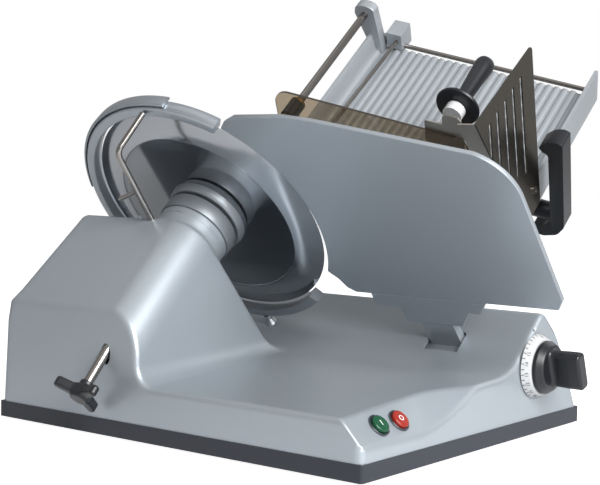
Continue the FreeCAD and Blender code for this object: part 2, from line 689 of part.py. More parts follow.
def build_deflector():
    """Bent rod from the hump's ridge to the top of the guard ring, with a short pin."""
    foot, bend, top = deflector_points()
    radius = 14.0
    first, second = (bend - foot), (top - bend)
    half = (foot - bend).getAngle(second) / 2.0
    back = radius / math.tan(half)
    u1, u2 = V(first).normalize(), V(second).normalize()
    start, end = bend - u1 * back, bend + u2 * back
    inward = (u2 - u1).normalize()
    mid = bend + inward * (radius / math.sin(half) - radius)
    path = Part.Wire([Part.LineSegment(foot, start).toShape(), Part.Arc(start, mid, end).toShape(),
                      Part.LineSegment(end, top).toShape()])
    circle = Part.Wire([Part.Circle(foot, u1, DEFLECTOR_R).toShape()])
    wire = path.makePipeShell([circle], True, False)
    pin_root = V(DEFLECTOR_X, 98.0, DEFLECTOR_W - 3.5)
    pin = rod(pin_root, V(DEFLECTOR_X - 40.0, 82.0, DEFLECTOR_W - 5.0), 3.0)
    export("deflector_rod", placed(fuse(wire, pin), BLADE_FRAME))


# ---------------------------------------------------------------- clamp screw
def build_clamp():
    """Clamp screw with its three-lobed knob and nut."""
    start = CLAMP_POINT - CLAMP_DIR * CLAMP_IN
    end = CLAMP_POINT + CLAMP_DIR * (CLAMP_OUT - 20.0)
    export("clamp_rod", rod(start, end, CLAMP_RADIUS))
    # knob in its own frame: Z along the rod, three lobes
    hub = Part.makeCylinder(12.0, 24.0)
    knob = hub
    for i in range(3):
        arm = Part.makeBox(CLAMP_LOBE - 8.0, 13.0, 13.0, V(0, -6.5, 8.0))
        tip = Part.makeCylinder(8.0, 15.0, V(CLAMP_LOBE - 8.0, 0, 7.0))
        lobe = arm.fuse(tip)
        lobe.rotate(V(0, 0, 0), V(0, 0, 1), CLAMP_TURN + i * 120.0)
        knob = knob.fuse(lobe)
    knob = knob.removeSplitter().cut(Part.makeCylinder(CLAMP_RADIUS + FIT, 4.0))
    knob.Placement = FreeCAD.Placement(CLAMP_POINT + CLAMP_DIR * (CLAMP_OUT - 24.0),
                                       FreeCAD.Rotation(V(0, 0, 1), CLAMP_DIR))
    export("clamp_knob", knob)
    nut = rod(CLAMP_POINT - CLAMP_DIR * 32.0, CLAMP_POINT, 13.0)
    nut = nut.common(core(WALL)).cut(rod(start - CLAMP_DIR * 5, end, CLAMP_RADIUS + FIT))
    export("clamp_nut", max(nut.Solids, key=lambda s: s.Volume))


# ---------------------------------------------------------------- thickness gauge
def build_gauge():
    """Gauge plate, its bracket and slide, and the bars and hangers inside the base."""
    # concave edge round the blade, then the plate's straight edges and two rounded corners
    arc_r = 171.0
    top, low = polar(arc_r + 1.5, 55.5), polar(arc_r + 2.0, -31.0)
    mid = polar(arc_r, 12.0)
    points = [top, mid, low]
    corner_points = [V(160, -102, 0), V(167, -116, 0), V(178, -123, 0), V(460, -123, 0), V(470, -107, 0),
                     V(471, 50, 0)]
    shoulder, arc_mid, crown = V(471, 50, 0), V(459.5, 86, 0), V(430, 110.5, 0)
    edges = [Part.Arc(points[0], points[1], points[2]).toShape()]
    chain = [low] + corner_points
    edges += [Part.LineSegment(chain[i], chain[i + 1]).toShape() for i in range(len(chain) - 1)]
    edges.append(Part.Arc(shoulder, arc_mid, crown).toShape())
    chain = [crown, V(236, 154.5, 0), V(195, 161, 0), V(126, 160, 0), V(108, 152, 0), top]
    edges += [Part.LineSegment(chain[i], chain[i + 1]).toShape() for i in range(len(chain) - 1)]
    plate = Part.Face(Part.Wire(edges)).extrude(V(0, 0, PLATE_THICKNESS))
    export("gauge_plate", placed(plate, BLADE_FRAME))
    # stepped bracket under the plate and the stem that enters the base
    upper = prism([(200, -143), (200, -123), (364, -123), (350, -143)], -8.0, PLATE_THICKNESS)
    lower = prism([(236, -168), (236, -143), (334, -143), (317, -168)], -8.0, PLATE_THICKNESS)
    export("gauge_bracket", placed(fuse(upper, lower), BLADE_FRAME))
    stem = box(STEM_X0, SLIDE_H1, STEM_W0, STEM_X1, -168.0, STEM_W1)
    block = box(SLIDE_X0, SLIDE_H0, SLIDE_W0, SLIDE_X1, SLIDE_H1, SLIDE_W1)
    for x in GUIDE_BAR_X:
        block = block.cut(rod(V(x, GUIDE_BAR_H, -100), V(x, GUIDE_BAR_H, 100), GUIDE_BAR_RADIUS + FIT))
    # the cam pin stands on the slide's end and reaches into the groove of the cam
    centre = pin_centre()
    pin = rod(V(centre.x, centre.y, BLADE_X + SLIDE_X1 - CAM_X - 1.0),
              V(centre.x, centre.y, CAM_GROOVE_DEPTH - GAP), PIN_RADIUS)
    export("gauge_slide", fuse(placed(fuse(stem, block), BLADE_FRAME), placed(pin, CAM_FRAME)))
    bars = [placed(rod(V(x, GUIDE_BAR_H, GUIDE_BAR_W0), V(x, GUIDE_BAR_H, GUIDE_BAR_W1), GUIDE_BAR_RADIUS),
                   BLADE_FRAME) for x in GUIDE_BAR_X]
    export("gauge_guide_bars", *bars)
    hangers = []
    for w in (GUIDE_BAR_W0, GUIDE_BAR_W1 - 8.0):
        hanger = box(SLIDE_X0 + 4, GUIDE_BAR_H - 12.0, w, SLIDE_X1 - 4, SLOPE_H - WALL, w + 8.0)
        for x in GUIDE_BAR_X:
            hanger = hanger.cut(rod(V(x, GUIDE_BAR_H, w - 1), V(x, GUIDE_BAR_H, w + 9), GUIDE_BAR_RADIUS))
        hangers.append(placed(hanger, BLADE_FRAME))
    return hangers


# ---------------------------------------------------------------- dial and cam
CAM_FRAME = FreeCAD.Placement(V(CAM_X, DIAL_Y, DIAL_Z), SIDE_FRAME.Rotation)
# direction of the slide's travel, down the slope, in the cam's own (Y, Z) plane
TRAVEL_ANGLE = math.degrees(math.atan2(-math.sin(math.radians(BLADE_LEAN)),
                                       -math.cos(math.radians(BLADE_LEAN))))


def spiral_groove(half_width, depth):
    """Archimedean groove: its radius grows by the travel over the dial's turn."""
    steps = 40
    pitch = GAUGE_TRAVEL / math.radians(DIAL_TURN)
    inner, outer = [], []
    for i in range(steps + 1):
        # the disc turns forwards, so the pin's place in it moves backwards
        turn = math.radians(DIAL_TURN) * i / steps
        angle = math.radians(TRAVEL_ANGLE) - turn
        r = CAM_START_RADIUS + pitch * turn
        point = V(r * math.cos(angle), r * math.sin(angle), 0)
        tangent = V(pitch * math.cos(angle) + r * math.sin(angle),
                    pitch * math.sin(angle) - r * math.cos(angle), 0).normalize()
        side = V(-tangent.y, tangent.x, 0) * half_width
        inner.append(point - side)
        outer.append(point + side)
        if i == 0:
            first, first_tangent = point, tangent
        last, last_tangent = point, tangent
    curves = []
    for points in (inner, outer):
        curve = Part.BSplineCurve()
        curve.interpolate(points)
        curves.append(curve.toShape())
    start_cap = Part.Arc(inner[0], first - first_tangent * half_width, outer[0]).toShape()
    end_cap = Part.Arc(outer[-1], last + last_tangent * half_width, inner[-1]).toShape()
    wire = Part.Wire(Part.__sortEdges__([curves[0], end_cap, curves[1], start_cap]))
    return Part.Face(wire).extrude(V(0, 0, depth))


def pin_centre():
    """Cam pin on the slide at the closed setting."""
    a = math.radians(TRAVEL_ANGLE)
    return V(CAM_START_RADIUS * math.cos(a), CAM_START_RADIUS * math.sin(a), 0)


def build_dial():
    """Cam disc, spindle, scale ring and knob."""
    disc = Part.makeCylinder(CAM_RADIUS, CAM_THICKNESS)
    disc = disc.cut(spiral_groove(PIN_RADIUS + FIT, CAM_GROOVE_DEPTH))
    disc = disc.cut(Part.makeCylinder(SPINDLE_R + FIT, CAM_THICKNESS))
    export("cam_disc", placed(disc, CAM_FRAME))
    knob_start = SKIN_X + GAP + DIAL_RING_WIDTH
    axis = [V(x, DIAL_Y, DIAL_Z) for x in (CAM_X, knob_start + KNOB_FLANGE)]
    export("dial_spindle", rod(axis[0], axis[1], SPINDLE_R))
    export("dial_bush", tube(V(SKIN_X - 16.0, DIAL_Y, DIAL_Z), V(SKIN_X - 1.5, DIAL_Y, DIAL_Z),
                             DIAL_BUSH_R, SPINDLE_R + FIT))
    ring = Part.makeCone(DIAL_RING_RADIUS, DIAL_RING_SMALL, DIAL_RING_WIDTH)
    ring = ring.cut(Part.makeCylinder(SPINDLE_R + FIT, DIAL_RING_WIDTH))
    ring_frame = FreeCAD.Placement(V(SKIN_X + GAP, DIAL_Y, DIAL_Z), SIDE_FRAME.Rotation)
    export("dial_scale", placed(ring, ring_frame))
    knob_frame = FreeCAD.Placement(V(knob_start, DIAL_Y, DIAL_Z), SIDE_FRAME.Rotation)
    flange = turned([(0.0, 0.0), (KNOB_RADIUS, 0.0), (KNOB_RADIUS, 5.0), (KNOB_RADIUS - 5.0, KNOB_FLANGE),
                     (0.0, KNOB_FLANGE)])
    half, thick = KNOB_GRIP_WIDTH / 2.0, KNOB_GRIP_THICKNESS / 2.0
    grip = prism([(-thick, -half), (thick, -half), (thick, half), (-thick, half)], 1.0, KNOB_LENGTH,
                 [6.0] * 4)
    grip.rotate(V(0, 0, 0), V(0, 0, 1), 20.0)
    knob = fuse(flange, grip).cut(Part.makeCylinder(SPINDLE_R + FIT, KNOB_FLANGE))
    export("dial_knob", placed(knob, knob_frame))


# ---------------------------------------------------------------- buttons
def build_buttons():
    """Start and stop button, their bezels and switches."""
    bezels, blocks = [], []
    for name, y in zip(("start_button", "stop_button"), BUTTON_Y):
        frame = FreeCAD.Placement(button_point(y), FreeCAD.Rotation(V(0, 0, 1), PANEL_NORMAL))
        cap = Part.makeCylinder(BUTTON_RADIUS - GAP, 14.0, V(0, 0, -8.0))
        cap = cap.makeFillet(1.5, [e for e in cap.Edges if e.CenterOfMass.z > 5.9 and e.Closed])
        export(name, placed(cap, frame))
        bezel = tube(V(0, 0, 0), V(0, 0, 2.5), BEZEL_RADIUS, BUTTON_RADIUS)
        sleeve = tube(V(0, 0, -18.0), V(0, 0, 0.0), BUTTON_RADIUS + 1.2 - FIT, BUTTON_RADIUS)
        bezels.append(placed(fuse(bezel, sleeve), frame))
        block = box(-12.0, -12.0, -34.0, 12.0, 12.0, -18.0)
        blocks.append(placed(block, frame))
    export("button_bezels", *bezels)
    export("switch_blocks", *blocks)


# ---------------------------------------------------------------- carriage
def table_box(p0, s0, m0, p1, s1, m1):
    """Box in the table's frame."""
    return placed(box(p0, s0, m0, p1, s1, m1), TABLE_FRAME)


def build_table():
    """Ribbed table with its end wall and rods."""
    floor = TABLE_TOP - RIB_HEIGHT
    low = floor - TABLE_THICKNESS
    # left wall leans out, the plate's right end is flat against the end wall
    section = [(TABLE_P0 + 4.0, low), (TABLE_P0 - 1.0, LEFT_WALL_TOP), (TABLE_P0 + 4.0, LEFT_WALL_TOP),
               (TABLE_P0 + 13.0, floor), (TABLE_P1, floor), (TABLE_P1, low)]
    plate = prism(section, -TABLE_S1, -TABLE_S0, [3.0, 0.0, 0.0, 4.0, 0.0, 0.0], TABLE_ACROSS)
    pitch = (RIBS_P1 - RIBS_P0) / RIB_COUNT
    ribs = []
    for i in range(RIB_COUNT):
        start = RIBS_P0 + i * pitch
        end = start + RIB_WIDTH
        ribs.append(prism([(start, floor - 1.0), (start, TABLE_TOP - 1.0), (start + 1.0, TABLE_TOP),
                           (end - 1.0, TABLE_TOP), (end, TABLE_TOP - 1.0), (end, floor - 1.0)],
                          -TABLE_S1, -TABLE_S0, None, TABLE_ACROSS))
    # rear plate that rises to the boss of the holder rod
    left, right = HOLDER_P - BOSS_RADIUS, HOLDER_P + BOSS_RADIUS
    arm = prism([(TABLE_P0 + 4.0, low), (left, HOLDER_M), (left + 4.0, HOLDER_M + BOSS_RADIUS),
                 (right, HOLDER_M + BOSS_RADIUS), (right + 4.0, HOLDER_M - 30.0), (right + 7.0, floor),
                 (right + 7.0, low)],
                -TABLE_S1, -TABLE_S1 + ARM_PLATE, [0.0, 6.0, 8.0, 8.0, 10.0, 0.0, 0.0], TABLE_ACROSS)
    hole = placed(rod(V(HOLDER_P, TABLE_S1 - 20.0, HOLDER_M), V(HOLDER_P, TABLE_S1 + 20.0, HOLDER_M),
                      HOLDER_ROD_RADIUS), TABLE_FRAME)
    # lug that carries the left end of the rear rod
    lug = table_box(HOLDER_P + 8.0, TABLE_S1, low, HOLDER_P + 18.0, REAR_ROD_S + 8.0, REAR_ROD_M + 8.0)
    # lug under the plate that grips the handle's tube
    grip = table_box(HANDLE_LUG_P, HANDLE_S - 17.0, HANDLE_M - 17.0,
                     HANDLE_LUG_P + 24.0, HANDLE_S + 17.0, low)
    grip = grip.cut(placed(rod(V(HANDLE_LUG_P + 4.0, HANDLE_S, HANDLE_M), V(END_WALL_P, HANDLE_S, HANDLE_M),
                               HANDLE_TUBE_RADIUS + FIT), TABLE_FRAME))
    body = fuse(plate, arm, lug, grip, *ribs)
    rear = placed(rod(V(0, REAR_ROD_S, REAR_ROD_M), V(END_WALL_P, REAR_ROD_S, REAR_ROD_M), REAR_ROD_RADIUS),
                  TABLE_FRAME)
    export("carriage_table", body.cut([hole, rear, boss_screw(FIT)]))
    rod_end = TABLE_P1 - REAR_ROD_SHORT
    wall = table_box(TABLE_P1, TABLE_S0 - 4.0, END_WALL_BOTTOM, END_WALL_P, END_WALL_REAR, END_WALL_TOP)
    # pad that squares the slotted guard to the wall
    pad = table_box(END_WALL_P - 1.0, GUARD_SCREW_S - 9.0, 52.0, END_WALL_P + 12.0, GUARD_SCREW_S + 9.0, 77.0)
    pad = pad.common(box(-500, -500, 0, BLADE_X + GUARD_X - GUARD_THICKNESS, 500, 700))
    export("end_wall", fuse(wall, pad).cut(guard_screw_hole()))
    rear = rod(V(HOLDER_P + 8.0, REAR_ROD_S, REAR_ROD_M), V(rod_end, REAR_ROD_S, REAR_ROD_M), REAR_ROD_RADIUS)
    holder = rod(V(HOLDER_P, HOLDER_ROD_S0, HOLDER_M), V(HOLDER_P, HOLDER_ROD_S1, HOLDER_M),
                 HOLDER_ROD_RADIUS)
    export("carriage_rods", placed(rear, TABLE_FRAME), placed(holder, TABLE_FRAME))


def build_carriage_arm():
    """Cast arm under the table, and the foot that runs on the rail inside the base."""
    x0, x1 = ARM_X - ARM_WIDTH / 2.0, ARM_X + ARM_WIDTH / 2.0
    low = TABLE_TOP - RIB_HEIGHT - TABLE_THICKNESS
    foot_top = RAIL_Z + 22.0
    y0, y1 = arm_sides()
    arm = prism([(y0, foot_top), (y0, 205.0), (95.0, 330.0), (110.0, 400.0), (230.0, 440.0),
                 (y1, 260.0), (y1, foot_top)], x0, x1,
                [0.0, 30.0, 0.0, 0.0, 0.0, 30.0, 0.0], SIDE_FRAME)
    above = placed(box(-600, -600, low, 900, 900, 900), TABLE_FRAME)
    export("carriage_arm", arm.cut(above))
    foot = box(ARM_X - FOOT_LENGTH / 2.0, RAIL_Y - 18.0, RAIL_Z - 18.0,
               ARM_X + FOOT_LENGTH / 2.0, RAIL_Y + 18.0, foot_top)
    bush_r = RAIL_RADIUS + 3.0
    bore = rod(V(ARM_X - 100, RAIL_Y, RAIL_Z), V(ARM_X + 100, RAIL_Y, RAIL_Z), bush_r)
    tail = box(ARM_X - 12.0, RAIL_Y + 18.0, RAIL_Z - 26.0, ARM_X + 12.0, RAIL_Y + 34.0, RAIL_Z - 18.0)
    heel = box(ARM_X - 12.0, RAIL_Y + 6.0, RAIL_Z - 26.0, ARM_X + 12.0, RAIL_Y + 18.0, RAIL_Z - 16.0)
    export("carriage_foot", fuse(foot, heel, tail).cut(bore))
    bushes = []
    for x in (ARM_X - FOOT_LENGTH / 2.0, ARM_X + FOOT_LENGTH / 2.0 - 16.0):
        bushes.append(tube(V(x, RAIL_Y, RAIL_Z), V(x + 16.0, RAIL_Y, RAIL_Z), bush_r, RAIL_RADIUS + FIT))
    guide_low, guide_high = RAIL_Z - 14.0, RAIL_Z - 8.0
    shoe = box(ARM_X - 12.0, RAIL_Y + 25.0, RAIL_Z - 18.0, ARM_X + 12.0, RAIL_Y + 34.0, guide_low - GAP)
    export("carriage_bushes", *bushes, shoe)
    export("carriage_rail", rod(V(RAIL_X0, RAIL_Y, RAIL_Z), V(RAIL_X1, RAIL_Y, RAIL_Z), RAIL_RADIUS))
    guide = box(RAIL_X0, RAIL_Y + 24.0, guide_low, RAIL_X1, RAIL_Y + 35.0, guide_high)
    export("guide_rail", guide)
    floor = FOOT_HEIGHT + COVER_THICKNESS
    posts = []
    for x in (RAIL_X0, RAIL_X1 - 12.0):
        post = prism([(RAIL_Y - 14.0, floor), (RAIL_Y - 14.0, RAIL_Z + 14.0), (RAIL_Y + 14.0, RAIL_Z + 14.0),
                      (RAIL_Y + 14.0, guide_high), (RAIL_Y + 35.0, guide_high), (RAIL_Y + 35.0, floor)],
                     x, x + 12.0, None, SIDE_FRAME)
        posts.append(post.cut([rod(V(x - 1, RAIL_Y, RAIL_Z), V(x + 13, RAIL_Y, RAIL_Z), RAIL_RADIUS), guide]))
    return posts


def guard_screw_hole():
    """Bore of the screw that holds the slotted guard to the end wall."""
    start = V(GUARD_SCREW_S, GUARD_SCREW_H, GUARD_X - 8.0)
    return placed(rod(start, start + V(0, 0, 12.0), 2.5), SLOPE_SIDE)


def boss_screw(clearance):
    """Set screw that locks the holder rod in its boss."""
    start = V(HOLDER_P + HOLDER_ROD_RADIUS, TABLE_S1 - ARM_PLATE / 2.0, HOLDER_M)
    return placed(rod(start, start + V(BOSS_RADIUS, 0, 0), BOSS_SCREW_RADIUS + clearance), TABLE_FRAME)


def build_slotted_guard():
    """Stainless hand guard across X, with slots parallel to its rear edge."""
    points = [(60, 97), (216, 88), (120, -71), (73, -71)]
    plate = prism(points, GUARD_X - GUARD_THICKNESS, GUARD_X, [2.0, 4.0, 4.0, 2.0], SLOPE_SIDE)
    tops = [(85, 77), (106, 77), (128, 76), (150, 76), (172, 75)]
    slots = []
    for i, (s, h) in enumerate(tops):
        length = 97.0 if i > 3 else (42.0, 62.0, 80.0, 90.0)[i]
        step = 0.588 * length
        half = SLOT_WIDTH / 2.0
        slots.append(prism([(s - half, h), (s + half, h), (s + half - step, h - length),
                            (s - half - step, h - length)], GUARD_X - 10, GUARD_X + 10, None, SLOPE_SIDE))
    flange = prism([(60, 96), (62, 96), (74, -40), (72, -40)], GUARD_X - 24.0, GUARD_X - GUARD_THICKNESS,
                   None, SLOPE_SIDE)
    plate = fuse(plate.cut(slots), flange)
    export("slotted_guard", plate.cut(guard_screw_hole()))
    start = V(GUARD_SCREW_S, GUARD_SCREW_H, GUARD_X - 8.0)
    face = V(GUARD_SCREW_S, GUARD_SCREW_H, GUARD_X)
    screw = placed(fuse(rod(start, face, 2.5 - FIT), rod(face, face + V(0, 0, 2.5), 5.0)), SLOPE_SIDE)
    export("set_screws", screw, boss_screw(0.0))


def build_handle():
    """Handle bar beside the end wall, on its tube."""
    bar = prism([(394, 126), (405, 137), (416, 141), (424, 139), (427, 2), (418, -14), (400, -22), (386, -20),
                 (384, -12), (400, -4), (409, 8), (406, 118), (399, 120)], -160.0, -135.0,
                [2, 8, 8, 4, 14, 14, 6, 3, 3, 10, 12, 6, 3], TABLE_ACROSS)
    stem = placed(rod(V(HANDLE_LUG_P + 4.0, HANDLE_S, HANDLE_M), V(END_WALL_P + 24.0, HANDLE_S, HANDLE_M),
                      HANDLE_TUBE_RADIUS), TABLE_FRAME)
    export("carriage_handle", fuse(bar, stem))


def build_fence():
    """Fence block on the rear rod, with the rod that holds the food."""
    rail = placed(rod(V(0, REAR_ROD_S, REAR_ROD_M), V(END_WALL_P, REAR_ROD_S, REAR_ROD_M),
                      REAR_ROD_RADIUS + FIT), TABLE_FRAME)
    front = REAR_ROD_S - 9.0
    block = fuse(table_box(FENCE_P0, front, TABLE_TOP + 0.6, FENCE_P1, front + FENCE_DEPTH, FENCE_TOP),
                 table_box(FENCE_P0, TABLE_S1 + 0.8, REAR_ROD_M - 6.0,
                           FENCE_P1, front + FENCE_DEPTH, FENCE_TOP))
    middle = (FENCE_P0 + FENCE_P1) / 2.0
    start = V(middle + 4.0, front, TABLE_TOP + 14.0)
    end = V(middle - 11.0, 20.0, TABLE_TOP + 6.0)
    seat = start - V(end - start).normalize() * 8.0
    export("fence_block", block.cut([rail, placed(rod(seat, end, FENCE_ROD_RADIUS + FIT), TABLE_FRAME)]))
    export("fence_rod", placed(rod(seat, end, FENCE_ROD_RADIUS), TABLE_FRAME))


def build_holder():
    """Remnant holder: a bush that slides on the rod, and a tinted plate that swings on the bush."""
    s0 = HOLDER_S - HOLDER_PLATE_THICKNESS / 2.0

    def on_rod(a, b, outer, inner):
        return placed(tube(V(HOLDER_P, a, HOLDER_M), V(HOLDER_P, b, HOLDER_M), outer, inner), TABLE_FRAME)

    lip = 3.0
    bush = on_rod(s0, s0 + SLEEVE_LENGTH + lip, BUSH_RADIUS, HOLDER_ROD_RADIUS + FIT)
    collar = on_rod(s0 + SLEEVE_LENGTH, s0 + SLEEVE_LENGTH + lip, SLEEVE_RADIUS, BUSH_RADIUS)
    export("holder_bush", fuse(bush, collar))
    export("holder_sleeve", on_rod(s0 + HOLDER_PLATE_THICKNESS, s0 + SLEEVE_LENGTH - 0.1, SLEEVE_RADIUS,
                                   BUSH_RADIUS + FIT))
    points = [(71, 92), (71, 159), (329, 159), (329, 76), (104, 76), (104, 92)]
    plate = prism(points, -s0 - HOLDER_PLATE_THICKNESS, -s0, [8, 20, 20, 8, 3, 3], TABLE_ACROSS)
    hole = placed(rod(V(HOLDER_P, 0, HOLDER_M), V(HOLDER_P, 200, HOLDER_M), BUSH_RADIUS + FIT), TABLE_FRAME)
    export("holder_plate", plate.cut(hole))
    back = s0 + HOLDER_PLATE_THICKNESS
    lug = table_box(273, back, 140, 323, back + 2.0, 172)
    post = placed(rod(V(GRIP_P, back, GRIP_M), V(GRIP_P, back + 16.0, GRIP_M), 12.0), TABLE_FRAME)
    web = table_box(GRIP_P - 12.0, back, 160, GRIP_P + 12.0, back + 2.0, GRIP_M)
    export("holder_bracket", fuse(lug, web, post))
    disc = rod(V(GRIP_P, back + 16.0, GRIP_M), V(GRIP_P, back + 22.0, GRIP_M), 27.0)
    grip = rod(V(GRIP_P, back + 22.0, GRIP_M), V(GRIP_P, back + GRIP_LENGTH, GRIP_M), 12.0)
    export("holder_grip", placed(fuse(disc, grip), TABLE_FRAME))


build_plinth()
build_housing()
build_spindle()
build_blade()
build_drive()
build_guard()
build_deflector()
build_clamp()
hangers = build_gauge()
build_dial()
build_buttons()
build_table()
posts = build_carriage_arm()
export("rail_brackets", *hangers, *posts)
build_slotted_guard()
build_handle()
build_fence()
build_holder()
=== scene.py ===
"""Looks of the gravity feed slicer: finishes, smooth castings, moulded knobs, light and camera.

Lengths in this file are millimetres, as a drawing has them, and UNIT turns them into scene metres.
Five frames are used, and each piece names its own:
  WORLD         X along the carriage travel, Z up
  BLADE         x along X, h up the blade plane, w down the slope, origin at the blade's centre
  TABLE         p along the table, s up the slope, m off the table, same origin
  ACROSS_TABLE  p, m and w, for sections across the table, same origin
  DIAL          x along the world's Y, y up, z out of the side wall, origin at the dial's joint
"""
import json
import logging
import math
from dataclasses import dataclass, field
from enum import Enum
from typing import Callable, Iterable, Optional, Sequence

import bmesh
import bpy
import numpy as np
from bpy.types import Material, Mesh, Node, NodeSocket, NodeTree, Object
from mathutils import Matrix, Vector


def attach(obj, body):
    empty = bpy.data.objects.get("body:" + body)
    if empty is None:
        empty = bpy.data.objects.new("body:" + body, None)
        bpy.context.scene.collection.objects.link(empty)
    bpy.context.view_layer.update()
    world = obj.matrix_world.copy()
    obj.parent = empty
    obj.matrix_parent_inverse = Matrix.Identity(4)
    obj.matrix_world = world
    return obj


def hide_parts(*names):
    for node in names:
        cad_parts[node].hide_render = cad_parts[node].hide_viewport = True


LOG = logging.getLogger("slicer")
UNIT = 0.001
Points = np.ndarray
Field = Callable[[Points], np.ndarray]
Pair = tuple[float, float]
Triple = tuple[float, float, float]
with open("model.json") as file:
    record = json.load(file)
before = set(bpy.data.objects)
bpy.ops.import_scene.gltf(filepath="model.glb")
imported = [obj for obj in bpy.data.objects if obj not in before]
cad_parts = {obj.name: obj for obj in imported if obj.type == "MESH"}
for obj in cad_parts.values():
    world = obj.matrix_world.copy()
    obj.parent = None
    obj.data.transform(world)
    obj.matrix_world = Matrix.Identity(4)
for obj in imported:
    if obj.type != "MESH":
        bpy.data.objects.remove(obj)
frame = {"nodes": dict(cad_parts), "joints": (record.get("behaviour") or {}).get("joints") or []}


# ---------------------------------------------------------------- frames
def joint(name: str) -> dict:
    """Returns the frame's joint of that name."""
    return next(j for j in frame["joints"] if j["name"] == name)


def basis(origin: Vector, x: Vector, y: Vector, z: Vector) -> Matrix:
    """Builds the matrix that takes millimetres in a local frame to scene metres.

    Args:
        origin: the frame's origin, in scene metres.
        x, y, z: the frame's unit axes.

    Returns:
        The 4 by 4 matrix.
    """
    turn = Matrix((x, y, z)).transposed().to_4x4()
    return Matrix.Translation(origin) @ turn @ Matrix.Scale(UNIT, 4)


BLADE_CENTRE = Vector(joint("blade_spin")["pos_m"])
DOWN_SLOPE = Vector(joint("blade_spin")["axis"]).normalized()
ACROSS = Vector((1, 0, 0))
UP_BLADE = DOWN_SLOPE.cross(ACROSS).normalized()
ALONG_TABLE = Vector(joint("fence_slide")["axis"]).normalized()
UP_SLOPE = -DOWN_SLOPE
OFF_TABLE = ALONG_TABLE.cross(UP_SLOPE).normalized()
WORLD = Matrix.Scale(UNIT, 4)
BLADE = basis(BLADE_CENTRE, ACROSS, UP_BLADE, DOWN_SLOPE)
TABLE = basis(BLADE_CENTRE, ALONG_TABLE, UP_SLOPE, OFF_TABLE)
ACROSS_TABLE = basis(BLADE_CENTRE, ALONG_TABLE, OFF_TABLE, DOWN_SLOPE)
DIAL_CENTRE = Vector(joint("dial_turn")["pos_m"])
DIAL = basis(DIAL_CENTRE, Vector((0, 1, 0)), Vector((0, 0, 1)), ACROSS)
# Places of the push buttons, which the housing's holes and the caps' marks share.
BUTTON_X, BUTTON_Z = 257.5, 53.0
START_Y, STOP_Y = -187.0, -149.5
# The dial's axis, which its hole and index dot share.
DIAL_Y, DIAL_Z = 125.5, 85.0


# ---------------------------------------------------------------- finishes
# Slow changes of tone on a plain face are about a hand's width apart.
CLOUD_MM = 90.0
# A brushed pattern is drawn out fifty times along the brushing.
DRAWN_OUT = (0.02, 1.0, 1.0)
# Roughness follows the pattern by this share of itself and this least amount.
ROUGH_SHARE, ROUGH_LEAST = 0.12, 0.01


def linear(code: str) -> tuple[float, float, float, float]:
    """Turns an sRGB hex value into a linear colour with alpha 1."""
    parts = [int(code[i:i + 2], 16) / 255.0 for i in (1, 3, 5)]
    return tuple(c / 12.92 if c <= 0.04045 else ((c + 0.055) / 1.055) ** 2.4 for c in parts) + (1.0,)


def add_node(tree: NodeTree, kind: str, settings: dict, links: Optional[dict] = None) -> Node:
    """Adds a node.

    Args:
        tree: the tree that gets the node.
        kind: the node's type.
        settings: property names, or input names or numbers, with their values.
        links: input names or numbers, with the sockets that feed them.

    Returns:
        The new node.
    """
    node = tree.nodes.new(kind)
    for key, value in settings.items():
        if isinstance(key, str) and hasattr(node, key):
            setattr(node, key, value)
        else:
            node.inputs[key].default_value = value
    for key, source in (links or {}).items():
        tree.links.new(source, node.inputs[key])
    return node


class Grain(Enum):
    """How a surface was made, which sets the pattern that the eye finds in it."""

    BLASTED = "bead blasted, then anodised"
    BRUSHED = "brushed in one direction"
    TURNED = "turned, with fine rings about an axis"
    MOULDED = "moulded against a sparked tool"
    SMOOTH = "polished"


